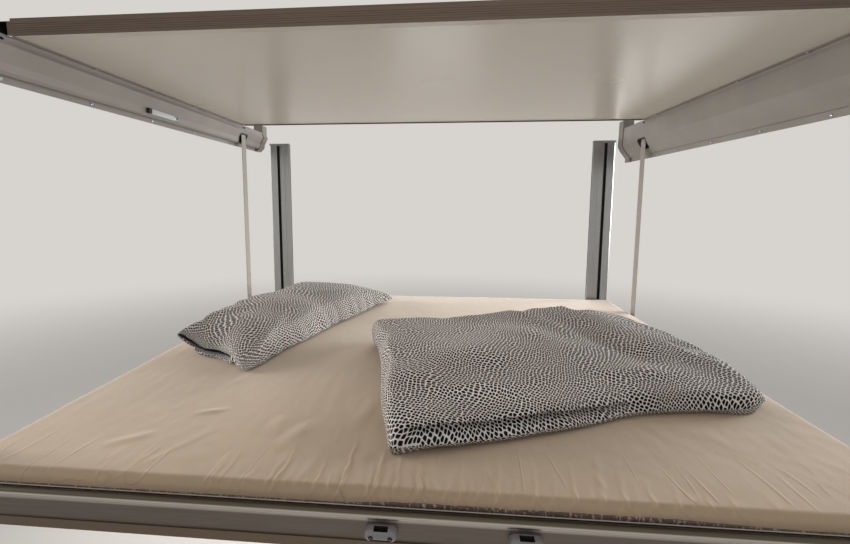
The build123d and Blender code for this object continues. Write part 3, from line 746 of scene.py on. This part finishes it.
# Pinches along the left pillow's front seam: share of the seam, reach in, half width, depth
LEFT_PINCHES = [
    (0.045, 0.05, 0.01, 0.006), (0.115, 0.07, 0.012, 0.008), (0.19, 0.05, 0.01, 0.006),
    (0.27, 0.08, 0.013, 0.009), (0.335, 0.06, 0.011, 0.007), (0.415, 0.09, 0.014, 0.01),
    (0.49, 0.07, 0.012, 0.008), (0.56, 0.11, 0.015, 0.011), (0.635, 0.08, 0.012, 0.009),
    (0.7, 0.1, 0.014, 0.011), (0.775, 0.08, 0.013, 0.009), (0.845, 0.1, 0.014, 0.01),
    (0.92, 0.06, 0.011, 0.007),
]
RIGHT_NEAR_SEAM = [
    (-0.063, 0.118, 0.02), (0.12, 0.172, 0.02), (0.3, 0.238, 0.02), (0.42, 0.29, 0.02), (0.52, 0.34, 0.018),
    (0.618, 0.37, 0.016), (0.74, 0.388, 0.016), (0.84, 0.396, 0.018), (0.925, 0.44, 0.022),
]
RIGHT_LEFT_SEAM = [(-0.063, 0.118, 0.02), (-0.112, 0.3, 0.03), (-0.16, 0.62, 0.038), (-0.232, 0.925, 0.046)]
RIGHT_FAR_SEAM = [
    (-0.232, 0.925, 0.046), (0.1, 1.01, 0.046), (0.38, 1.08, 0.046), (0.62, 1.08, 0.046), (0.76, 1.0, 0.046),
]
RIGHT_RIGHT_SEAM = [(0.925, 0.44, 0.022), (0.945, 0.56, 0.034), (0.885, 0.78, 0.046), (0.76, 1.0, 0.046)]
# Broad swells of the right filling.
# Columns: x, distance from the front edge, direction in degrees, two half lengths, height
RIGHT_SWELLS = [
    (0.5, 0.9, 0, 0.2, 0.13, 0.03), (0.68, 0.7, -55, 0.26, 0.09, 0.012), (0.15, 0.56, 20, 0.2, 0.1, 0.01),
    (-0.12, 0.83, 10, 0.1, 0.1, -0.004), (0.15, 0.82, 5, 0.16, 0.09, -0.008),
    (0.8, 0.52, -30, 0.1, 0.1, -0.018), (0.42, 0.42, 20, 0.18, 0.06, -0.006),
    (0.62, 0.48, 15, 0.12, 0.04, 0.008), (0.05, 0.26, 15, 0.2, 0.05, 0.004),
    (0.3, 0.7, -40, 0.14, 0.05, 0.008), (0.56, 0.62, -50, 0.16, 0.035, -0.009),
    (0.42, 0.76, -58, 0.14, 0.03, 0.006),
]


def on_bed(points):
    return [Vector((x, BED_FRONT + back, height)) for x, back, height in points]


def even_print(piece, size, columns, reach):
    """Measures the print along the cloth next to the near seam, so that no fold stretches it."""
    mesh = piece.data
    cloth = mesh.uv_layers.active.data
    lines = {}
    for loop in mesh.loops:
        u, v = cloth[loop.index].uv
        if u > 0 and v < reach - size[1] / 2:
            line = lines.setdefault(round((u - SKIN_PLACE) / size[0] * columns), {})
            line.setdefault(loop.vertex_index, (v, []))[1].append(loop.index)
    for line in lines.values():
        before, place = None, 0.0
        for vertex, (v, loops) in sorted(line.items(), key=lambda entry: -entry[1][0]):
            spot = mesh.vertices[vertex].co
            place = v if before is None else place - (spot - before).length
            for index in loops:
                cloth[index].uv.y = place
            before = spot


def stuffed_cover(near, right, far, left, segments, reach, rise, relief_at, under):
    """A closed cover on four seam curves: an upper and a lower skin that meet in the seam.

    near and far run from left to right, left and right run from near to far. reach and rise
    are the soft edge's two lengths. Each point keeps its run over the cloth as its place in
    the print. The near seam is marked, so that it can be opened into a case end.
    """
    corners = near[0], near[-1], far[0], far[-1]
    seams = (near, far), (left, right)
    spans, size = [], []
    for (first, _), edge in zip(seams, reach):
        line = steps_along(first, 20)
        spans.append(sum((start - end).length for start, end in zip(line, line[1:])))
        size.append(spans[-1] + 2 * (math.pi / 2 * (edge + rise) / 2 - edge))
    known = {}

    def grid_line(way, share):
        """Place between two seams, run from the nearer one, height, and the ends on the others."""
        key = (way, round(share, 6))
        if key not in known:
            run = (0.5 - abs(share)) * size[way]
            place, up = soft_edge(run, reach[way], rise)
            at = 0.5 + math.copysign(0.5 - place / spans[way], share)
            known[key] = (at, run, up, *(along_curve(seam, at) for seam in seams[way]))
        return known[key]

    shape = bmesh.new()
    cloth = shape.loops.layers.uv.new("cloth")
    from_seam = shape.verts.layers.float.new("from_seam")
    for skin in (1, -1):
        made = bmesh.ops.create_grid(shape, x_segments=segments[0], y_segments=segments[1], size=0.5)["verts"]
        faces = {f for v in made for f in v.link_faces}
        if skin < 0:
            bmesh.ops.reverse_faces(shape, faces=list(faces))
        for face in faces:
            for loop in face.loops:
                loop[cloth].uv = (loop.vert.co.x * size[0] + SKIN_PLACE * skin, loop.vert.co.y * size[1])
        for v in made:
            a, run_x, up_x, at_near, at_far = grid_line(0, v.co.x)
            b, run_y, up_y, at_left, at_right = grid_line(1, v.co.y)
            spot = at_near * (1 - b) + at_far * b + at_left * (1 - a) + at_right * a
            patch = (corners[0] * (1 - a) + corners[1] * a) * (1 - b)
            spot -= patch + (corners[2] * (1 - a) + corners[3] * a) * b
            up = up_x * up_y
            if skin > 0:
                spot.z += rise * up + relief_at(a, b, run_x, run_y) * min(1.0, up * 2)
            else:
                spot.z *= 1 - min(1.0, up * under)
            v.co = spot
            v[from_seam] = min(run_x, run_y)
    bmesh.ops.remove_doubles(shape, verts=shape.verts, dist=0.0003)
    for edge in shape.edges:
        loops = [loop for f in edge.link_faces for loop in f.loops if loop.vert in edge.verts]
        edge.seam = all(abs(loop[cloth].uv.y + size[1] / 2) < 1e-4 for loop in loops)
    bmesh.ops.recalc_face_normals(shape, faces=shape.faces)
    return shape, size


def plump(piece):
    """Lets the cover buckle over its filling for a moment, and keeps each point within a cap."""
    frames, cap, full_at = 20, 0.014, 0.07
    before = [v.co.copy() for v in piece.data.vertices]
    cloth = piece.modifiers.new("plump", "CLOTH")
    fabric = cloth.settings
    fabric.quality = 5
    fabric.mass = 0.25
    fabric.tension_stiffness = 20
    fabric.compression_stiffness = 18
    fabric.shear_stiffness = 8
    fabric.bending_stiffness = 0.3
    fabric.use_pressure = True
    fabric.uniform_pressure_force = 2.5
    fabric.shrink_min = -0.04
    fabric.effector_weights.gravity = 0.0
    cloth.collision_settings.use_collision = False
    cloth.point_cache.frame_start = 1
    cloth.point_cache.frame_end = frames
    for step in range(1, frames + 1):
        scene.frame_set(step)
    settled = piece.evaluated_get(bpy.context.evaluated_depsgraph_get())
    after = [v.co.copy() for v in settled.data.vertices]
    piece.modifiers.remove(cloth)
    scene.frame_set(1)
    runs = piece.data.attributes["from_seam"].data
    for v, old, new, run in zip(piece.data.vertices, before, after, runs):
        step = new - old
        limit = cap * min(1.0, 0.18 + run.value / full_at)
        if step.length > limit:
            step *= limit / step.length
        v.co = old + step
        v.co.z = max(v.co.z, BED_TOP + 0.001)


def refine(piece):
    """One subdivision, kept in the mesh."""
    finer = piece.modifiers.new("finer", "SUBSURF")
    finer.levels = finer.render_levels = 1
    smooth = piece.evaluated_get(bpy.context.evaluated_depsgraph_get())
    mesh = bpy.data.meshes.new_from_object(smooth)
    piece.modifiers.remove(finer)
    piece.data = mesh
    mesh.shade_smooth()


def open_case_end(piece, inward, depth, gap, band):
    """Parts the marked seam into two lips with a pocket between them.

    gap is how far the lips part, and band how far back the upper skin is raised with them.
    """
    lift, fall = Vector((0, 0, gap * 0.55)) - inward * 0.004, Vector((0, 0, -gap * 0.45)) - inward * 0.016
    shape = bmesh.new()
    shape.from_mesh(piece.data)
    cloth = shape.loops.layers.uv.active
    bmesh.ops.split_edges(shape, edges=[e for e in shape.edges if e.seam])
    rim = [e for e in shape.edges if e.is_boundary]
    widest = max(abs(abs(loop[cloth].uv.x) - SKIN_PLACE) for e in rim for loop in e.link_loops)
    seam_at = min(loop[cloth].uv.y for e in rim for loop in e.link_loops)
    lips = {}
    for v in (v for edge in rim for v in edge.verts):
        u = next(loop[cloth].uv.x for loop in v.link_loops)
        lips[v] = (u > 0, math.cos((abs(u) - SKIN_PLACE) / widest * math.pi / 2))
    for v in shape.verts:
        uv = v.link_loops[0][cloth].uv
        run = uv.y - seam_at
        if uv.x > 0 and run < band and v not in lips:
            share = math.cos(min(1.0, abs(uv.x - SKIN_PLACE) / widest) * math.pi / 2)
            v.co += lift * share * (1 - run / band) ** 2
    made = bmesh.ops.extrude_edge_only(shape, edges=rim)["geom"]
    # The pocket's faces take the second finish, painted shade
    for face in (g for g in made if isinstance(g, bmesh.types.BMFace)):
        face.material_index = 1
    inner = [g for g in made if isinstance(g, bmesh.types.BMVert)]
    for v in inner:
        near_lip = min(lips, key=lambda lip: (lip.co - v.co).length_squared)
        v.co += inward * depth * lips[near_lip][1]
    for v, (upper, share) in lips.items():
        v.co += (lift if upper else fall) * share
        if not upper:
            v.co.z = max(v.co.z, BED_TOP + 0.001)
    bmesh.ops.remove_doubles(shape, verts=inner, dist=0.0002)
    shape.to_mesh(piece.data)
    shape.free()


def make_pillow(side, shape):
    """Lays a cover on the bed and plumps it up."""
    bmesh.ops.translate(shape, verts=shape.verts, vec=(0, 0, BED_TOP + 0.0015))
    pillow = new_piece(f"pillow_cover_{side}", shape, "print_cotton", "bed")
    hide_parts(f"pillow_{side}")
    plump(pillow)
    return pillow


def draw_in_seam(shape, seam):
    """Draws the seam in where the cover is pinched."""
    reach, nearby, steps = 0.08, 0.12, 160
    from_seam = shape.verts.layers.float["from_seam"]
    line = steps_along(seam, steps)
    for v in shape.verts:
        if v[from_seam] >= reach:
            continue
        nearest = min(range(steps + 1), key=lambda i: (line[i] - v.co).length_squared)
        if (line[nearest] - v.co).length < nearby:
            for share, _, half, deep in LEFT_PINCHES:
                pull = 1.1 * deep * bell((nearest / steps - share) / half)
                v.co.x -= pull * (1 - v[from_seam] / reach)


def lay_left_pillow():
    """Long pillow with an open case end towards the viewer and a pinched front seam."""
    front, back = on_bed(LEFT_FRONT_SEAM), on_bed(LEFT_BACK_SEAM)
    near, far = on_bed(LEFT_NEAR_SEAM), on_bed(LEFT_FAR_SEAM)

    def relief_at(a, b, run_x, run_y):
        lift = 0.014 * math.sin(math.pi * b) + 0.009 * rolling(a * 3.0, b * 6.0, 7.0)
        lift -= 0.030 * (1 - b) ** 1.4 * a + 0.003 * b**5 - 0.010 * b * a
        # The ridge that runs up from the near front corner
        ridge = (run_x * 0.93 - run_y * 0.37 - 0.012) / 0.020
        lift += 0.012 * bell(ridge) * max(0.0, 1 - run_x / 0.26)
        if a < 0.5:
            for share, length, half, deep in LEFT_PINCHES:
                off = (b - share - run_x * 0.12 * math.sin(share * 40)) * 1.15
                if run_x < length and abs(off) < 3 * half:
                    lift -= deep * (1 - run_x / length) * bell(off / half)
        return lift

    shape, _ = stuffed_cover(near, back, far, front, (72, 150), (0.19, 0.27), 0.086, relief_at, 1.2)
    draw_in_seam(shape, front)
    pillow = make_pillow("left", shape)
    # The pocket's inside gets a near-black finish: painted shade
    pillow.data.materials.append(finishes["pocket_cotton"])
    open_case_end(pillow, Vector((0.30, 0.95, 0.0)), depth=0.07, gap=0.046, band=0.09)
    refine(pillow)


def fold_near_edge(pillow, seam):
    """Presses a fold into the cover along its near edge, which fades out to the right."""
    steps, coarse, fold_end, reach = 200, 8, 0.66, 0.05
    edge = steps_along(seam, steps)
    for v in pillow.data.vertices:
        i = min(range(0, steps + 1, coarse), key=lambda k: abs(edge[k].x - v.co.x))
        around = range(max(0, i - coarse), min(steps, i + coarse) + 1)
        i = min(around, key=lambda k: abs(edge[k].x - v.co.x))
        share = i / steps
        if v.co.y - edge[i].y < reach and share < fold_end:
            fade = min(1.0, share * 14, (fold_end - share) * 7)
            height = v.co.z - BED_TOP
            fold_at = 0.047 - 0.030 * share - 0.003 * rolling(share * 12, 1.0)
            off = height - fold_at
            v.co.y += fade * (0.028 * bell(off / 0.007) - 0.010 * bell((off - 0.015) / 0.009))
            v.co.y -= fade * 0.008 * bell((height - fold_at * 0.42) / 0.013)


def lay_right_pillow():
    """Large folded quilt in a printed cover."""
    near, far = on_bed(RIGHT_NEAR_SEAM), on_bed(RIGHT_FAR_SEAM)
    left, right = on_bed(RIGHT_LEFT_SEAM), on_bed(RIGHT_RIGHT_SEAM)

    def relief_at(a, b, run_x, run_y):
        spot = (near[0].lerp(near[-1], a)).lerp(far[0].lerp(far[-1], a), b)
        lift = -0.034 * (1 - b) ** 1.6 + 0.006 * rolling(spot.x * 6.0, spot.y * 6.0, 2.0)
        for swell_x, swell_back, turn, long, wide, height in RIGHT_SWELLS:
            along, across = turned(spot.x - swell_x, spot.y - BED_FRONT - swell_back, turn)
            lift += height * math.exp(-((along / long) ** 2) - (across / wide) ** 2)
        return lift

    shape, size = stuffed_cover(near, right, far, left, (140, 118), (0.070, 0.070), 0.050, relief_at, 1.6)
    pillow = make_pillow("right", shape)
    refine(pillow)
    fold_near_edge(pillow, near)
    even_print(pillow, size, 280, 0.16)


# STRAPS
def hang_strap(side, row):
    """Webbing from its spool down to the clamp on the side rail."""
    low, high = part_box(f"strap_{side}_{row}")
    middle_x, middle_y = (low.x + high.x) / 2, (low.y + high.y) / 2
    width, length = high.y - low.y, high.z - low.z
    shape = new_grid(8, 120)
    for v in shape.verts:
        v.co = Vector((middle_x, middle_y + v.co.x * width, low.z + (v.co.y + 0.5) * length))
    bmesh.ops.recalc_face_normals(shape, faces=shape.faces)
    strap = new_piece(f"strap_webbing_{side}_{row}", shape, "strap_webbing", None)
    thicken(strap, "webbing_thickness", 0.0014)
    # The bend runs past both ends, or the webbing would double back at the upper limit
    past = 0.062
    top, bottom = (middle_x, middle_y, high.z + past), (middle_x, middle_y, low.z - past)
    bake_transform(strap, "ceiling_unit", "bed", start=top, end=bottom)
    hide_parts(f"strap_{side}_{row}")


# SMALL PIECES ON THE METALWORK
# Each housing's face. Columns: drop, distance from the wall
HOUSING_FACE = {
    "left": [(0.067, 0.057), (0.104, 0.036), (0.1235, 0.034), (0.1305, 0.026)],
    "right": [(0.058, 0.052), (0.134, 0.054), (0.158, 0.041), (0.200, 0.008)],
}
SLOT_DROPS = {"left": (0.086, 0.126), "right": (0.128, 0.172)}
FLANGE_SCREW_DROP = {"left": 0.137, "right": 0.212}
HOLE_DROP = {"left": 0.137, "right": 0.211}
# Screws along the flanges: place of the first and the step to the next
WALL_SCREWS = {"left": (-0.6185, 0.2935), "right": (-0.644, 0.269)}
PANEL_SCREWS = {"left": (-0.638, 0.2715), "right": (-0.640, 0.2885)}
# Smaller screws near the far end of the wall flange
FAR_SCREWS = {"left": (0.872, 0.892), "right": (0.607, 0.872, 0.892)}
HALF_WALL = 1.060


def add_screw(shape, place, facing, radius=0.0042, rise=0.0018):
    """A low domed head with a round recess."""
    made = bmesh.ops.create_cone(
        shape, cap_ends=True, segments=14, radius1=radius, radius2=radius * 0.74, depth=rise
    )["verts"]
    top = max({f for v in made for f in v.link_faces}, key=lambda f: f.calc_center_median().z)
    ring = bmesh.ops.inset_region(shape, faces=[top], thickness=radius * 0.30)["faces"]
    bmesh.ops.translate(shape, verts=top.verts, vec=(0, 0, -rise * 0.65))
    all_verts = list(set(made) | {v for f in ring for v in f.verts} | set(top.verts))
    facing = Vector(facing)
    turn = Vector((0, 0, 1)).rotation_difference(facing).to_matrix().to_4x4()
    move = Matrix.Translation(Vector(place) + facing * rise / 2) @ turn
    bmesh.ops.transform(shape, matrix=move, verts=all_verts)


def fix_flanges():
    """Screws of the two housings along both flanges, and plugs in the holes between them."""
    for side, sign in SIDES.items():
        on_wall, drop = sign * (HALF_WALL - 0.004), FLANGE_SCREW_DROP[side]
        shape = bmesh.new()
        first, pitch = WALL_SCREWS[side]
        for step in range(5):
            add_screw(shape, (on_wall, first + pitch * step, -drop), (-sign, 0, 0), 0.0050, 0.0026)
        for along in FAR_SCREWS[side]:
            add_screw(shape, (on_wall, along, -drop), (-sign, 0, 0), 0.0032)
        first, pitch = PANEL_SCREWS[side]
        for step in range(5):
            add_screw(shape, (sign * 1.0, first + pitch * step, -0.0445), (0, 0, -1), 0.0054, 0.0030)
        new_piece(f"flange_screws_{side}", shape, "zinc_screw", "ceiling_unit")
        shape = bmesh.new()
        for step in range(6):
            made = bmesh.ops.create_cone(
                shape, cap_ends=True, segments=14, radius1=0.0034, radius2=0.0024, depth=0.0010
            )["verts"]
            turn = Matrix.Rotation(-sign * math.pi / 2, 4, "Y")
            place = Vector((sign * (HALF_WALL - 0.0042), -0.675 + 0.27 * step, -HOLE_DROP[side]))
            bmesh.ops.transform(shape, matrix=Matrix.Translation(place) @ turn, verts=made)
        new_piece(f"flange_plugs_{side}", shape, "housing_paint", "ceiling_unit")


def fix_guides():
    """Screws down the guide rails."""
    for side, sign in SIDES.items():
        shape = bmesh.new()
        for drop in (0.445, 0.605, 0.880, 1.140):
            add_screw(shape, (sign * 0.941, 1.010, -drop), (0, -1, 0), 0.0040, 0.0012)
        new_piece(f"guide_screws_{side}", shape, "zinc_screw", "ceiling_unit")


def trim_slots():
    """Black frame pressed into each strap slot."""
    for side, row in CORNERS:
        sign, (top, bottom) = SIDES[side], SLOT_DROPS[side]
        low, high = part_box(f"strap_{side}_{row}")
        middle = (low.y + high.y) / 2
        shape = bmesh.new()
        rings = []
        # Rings of the frame's section: how far each lies out from the slot, and over the face
        for grow, lift in ((0.0050, -0.0002), (0.0046, 0.0011), (-0.0006, 0.0011), (-0.0022, -0.009)):
            made = bmesh.ops.create_circle(shape, segments=72, radius=1.0)["verts"]
            half_y, half_z, corner = 0.040 + grow, (bottom - top) / 2 + grow, 0.009 + grow
            for v in made:
                turn = math.atan2(v.co.y, v.co.x)
                c, s = math.cos(turn), math.sin(turn)
                y = math.copysign(half_y - corner, c) + corner * c if abs(c) > 0.02 else 0.0
                z = math.copysign(half_z - corner, s) + corner * s if abs(s) > 0.02 else 0.0
                drop = (top + bottom) / 2 - z
                face = HALF_WALL - read_off(HOUSING_FACE[side], drop)
                v.co = Vector((sign * (face - lift), middle + y, -drop))
            rings.append(list({e for v in made for e in v.link_edges}))
        for inner, outer in zip(rings, rings[1:]):
            bmesh.ops.bridge_loops(shape, edges=inner + outer)
        bmesh.ops.recalc_face_normals(shape, faces=shape.faces)
        new_piece(f"slot_trim_{side}_{row}", shape, "black_plastic", "ceiling_unit")


def shade_housing_insides():
    """Black sheets of painted shade that shut each housing against the wall, the roof and its two end
    notches.
    """
    panel_low, panel_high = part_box("ceiling_panel")
    notch = [(1.0136, -0.0440), (1.0136, -0.0660)]
    for side, sign in SIDES.items():
        low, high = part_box(f"housing_{side}")
        wall, root = HALF_WALL - 0.0010, HALF_WALL - 0.052
        foot, flange, roof = low.z + 0.024, high.z - 0.004, -0.0012
        for part, near, far, line in (
            ("wall", low.y + 0.001, high.y - 0.001, [(wall, foot), (wall, flange)]),
            ("roof", panel_low.y, panel_high.y, [(wall, flange), (wall, roof), (root, roof)]),
            ("far_notch", panel_high.y + 0.002, panel_high.y + 0.056, notch),
            ("near_notch", -panel_high.y - 0.056, -panel_high.y - 0.002, notch),
        ):
            shape = new_grid(1, len(line) - 1)
            for v in shape.verts:
                x, z = line[round((v.co.y + 0.5) * (len(line) - 1))]
                v.co = Vector((sign * x, near if v.co.x < 0 else far, z))
            name = f"housing_painted_shade_{part}_{side}"
            # Painted shade: a black sheet where the inside of the housing lies in shade
            shade_sheet = new_piece(name, shape, "foam_strip", "ceiling_unit", smooth=False)
            thicken(shade_sheet, "shade_sheet_thickness", 0.0008)


def finish_catch():
    """Moulded cover of the catch, and the screw plate at its far end."""
    low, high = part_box("catch_strip")
    shape = bmesh.new()
    far_end = (high.x + 0.0012, high.y - 0.004, high.z + 0.0025)
    add_box(shape, (low.x, low.y + 0.001, low.z - 0.0025), far_end, 0.0022, 3)
    new_piece("catch_cover", shape, "catch_plastic", "ceiling_unit")
    shape = bmesh.new()
    far_end = (high.x + 0.0018, high.y + 0.016, high.z + 0.001)
    add_box(shape, (low.x, high.y - 0.004, low.z - 0.001), far_end, 0.0012)
    new_piece("catch_screw_plate", shape, "zinc_screw", "ceiling_unit")
    shape = bmesh.new()
    add_screw(shape, (high.x + 0.0018, high.y + 0.007, (low.z + high.z) / 2), (1, 0, 0), 0.0040)
    new_piece("catch_screw", shape, "black_plastic", "ceiling_unit")


def paint_edge_highlights():
    """Pale lips under the front fascia and along the top of the bed's front rail, as painted highlights on
    their edges.
    """
    low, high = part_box("bed_front_rail")
    shape = bmesh.new()
    add_box(shape, (low.x, BED_FRONT - 0.0057, -1.0302), (high.x, BED_FRONT - 0.0030, -1.0288), 0.0004)
    new_piece("rail_lip_highlight", shape, "pale_edge", "bed", smooth=False)
    low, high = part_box("front_fascia")
    shape = bmesh.new()
    near_end = (low.x + 0.018, low.y + 0.0008, low.z - 0.0008)
    add_box(shape, near_end, (high.x - 0.018, high.y + 0.0030, low.z + 0.0006), 0.0003)
    new_piece("fascia_lip_highlight", shape, "pale_edge", "ceiling_unit", smooth=False)


def bolt_anchors():
    """Four bolts on each strap clamp."""
    for side, row in CORNERS:
        sign = SIDES[side]
        low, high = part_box(f"strap_anchor_{side}_{row}")
        face = high.x if sign > 0 else low.x
        shape = bmesh.new()
        for y in (low.y + 0.005, high.y - 0.005):
            for z in (low.z + 0.009, high.z - 0.009):
                add_screw(shape, (face, y, z), (sign, 0, 0), 0.0040, 0.0024)
        new_piece(f"anchor_bolts_{side}_{row}", shape, "zinc_screw", "bed")


def mould_sockets():
    """Ladder sockets with rounded shoulders, a deep slot and two screw wells."""
    half_mouth, dip = 0.0135, 0.009
    for side in SIDES:
        name = f"ladder_socket_{side}"
        low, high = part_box(name)
        middle = (low.x + high.x) / 2
        mouth_near, mouth_far = low.y + 0.0034, high.y - 0.0036
        shape = bmesh.new()
        add_box(shape, low, high)
        ends = [e for e in shape.edges if abs(e.verts[0].co.y - e.verts[1].co.y) > 0.01]
        round_edges(shape, ends, 0.0104, 8)
        rim = [e for e in shape.edges if all(v.co.y < low.y + 1e-5 for v in e.verts)]
        round_edges(shape, rim, 0.0078, 6)
        for spot, normal in (
            ((middle - half_mouth, 0, 0), (1, 0, 0)), ((middle + half_mouth, 0, 0), (1, 0, 0)),
            ((0, mouth_near, 0), (0, 1, 0)), ((0, mouth_far, 0), (0, 1, 0)),
        ):
            everything = shape.verts[:] + shape.edges[:] + shape.faces[:]
            bmesh.ops.bisect_plane(shape, geom=everything, plane_co=spot, plane_no=normal)
        for v in shape.verts:
            if v.co.z < low.z + dip and abs(v.co.x - middle) < half_mouth + 0.0001:
                v.co.z += 0.0030 * (low.z + dip - v.co.z) / dip
        mouth = [
            f for f in shape.faces
            if f.normal.z > 0.1 and abs(f.calc_center_median().x - middle) < half_mouth - 0.0001
            and mouth_near < f.calc_center_median().y < mouth_far
        ]
        made = bmesh.ops.extrude_face_region(shape, geom=mouth)["geom"]
        for v in (g for g in made if isinstance(g, bmesh.types.BMVert)):
            v.co.z = low.z + 0.0060
        bmesh.ops.delete(shape, geom=mouth, context="FACES")
        bmesh.ops.recalc_face_normals(shape, faces=shape.faces)
        # Faces down in the slot get black: painted shade in the deep slot
        for face in shape.faces:
            spot = face.calc_center_median()
            in_slot = abs(spot.x - middle) < half_mouth + 0.0001 and spot.z < high.z - 0.0005
            if in_slot and mouth_near - 1e-4 < spot.y < mouth_far + 1e-4:
                face.material_index = 1 if spot.z > low.z + 0.0035 else 0
        socket = new_piece(f"socket_body_{side}", shape, "socket_plastic", "bed")
        socket.data.materials.append(finishes["black_plastic"])
        split = socket.modifiers.new("crisp_slot", "EDGE_SPLIT")
        split.split_angle = math.radians(50)
        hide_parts(name)
        # Screws in the two wells, made black as painted shade for the wells they sit in
        shape = bmesh.new()
        for off in (-0.0182, 0.0182):
            place = (middle + off, low.y + 0.0003, low.z + 0.0092)
            add_screw(shape, place, (0, -0.99, -0.12), 0.0050, 0.0010)
        new_piece(f"socket_screws_{side}", shape, "foam_strip", "bed")


place_camera()
light_the_room()
hang_lights()
lay_floor()
make_finishes()
dress_nodes()
lay_mattress()
lay_sheet()
sew_hem()
lay_left_pillow()
lay_right_pillow()
for side, row in CORNERS:
    hang_strap(side, row)
fix_flanges()
fix_guides()
trim_slots()
shade_housing_insides()
finish_catch()
paint_edge_highlights()
bolt_anchors()
mould_sockets()
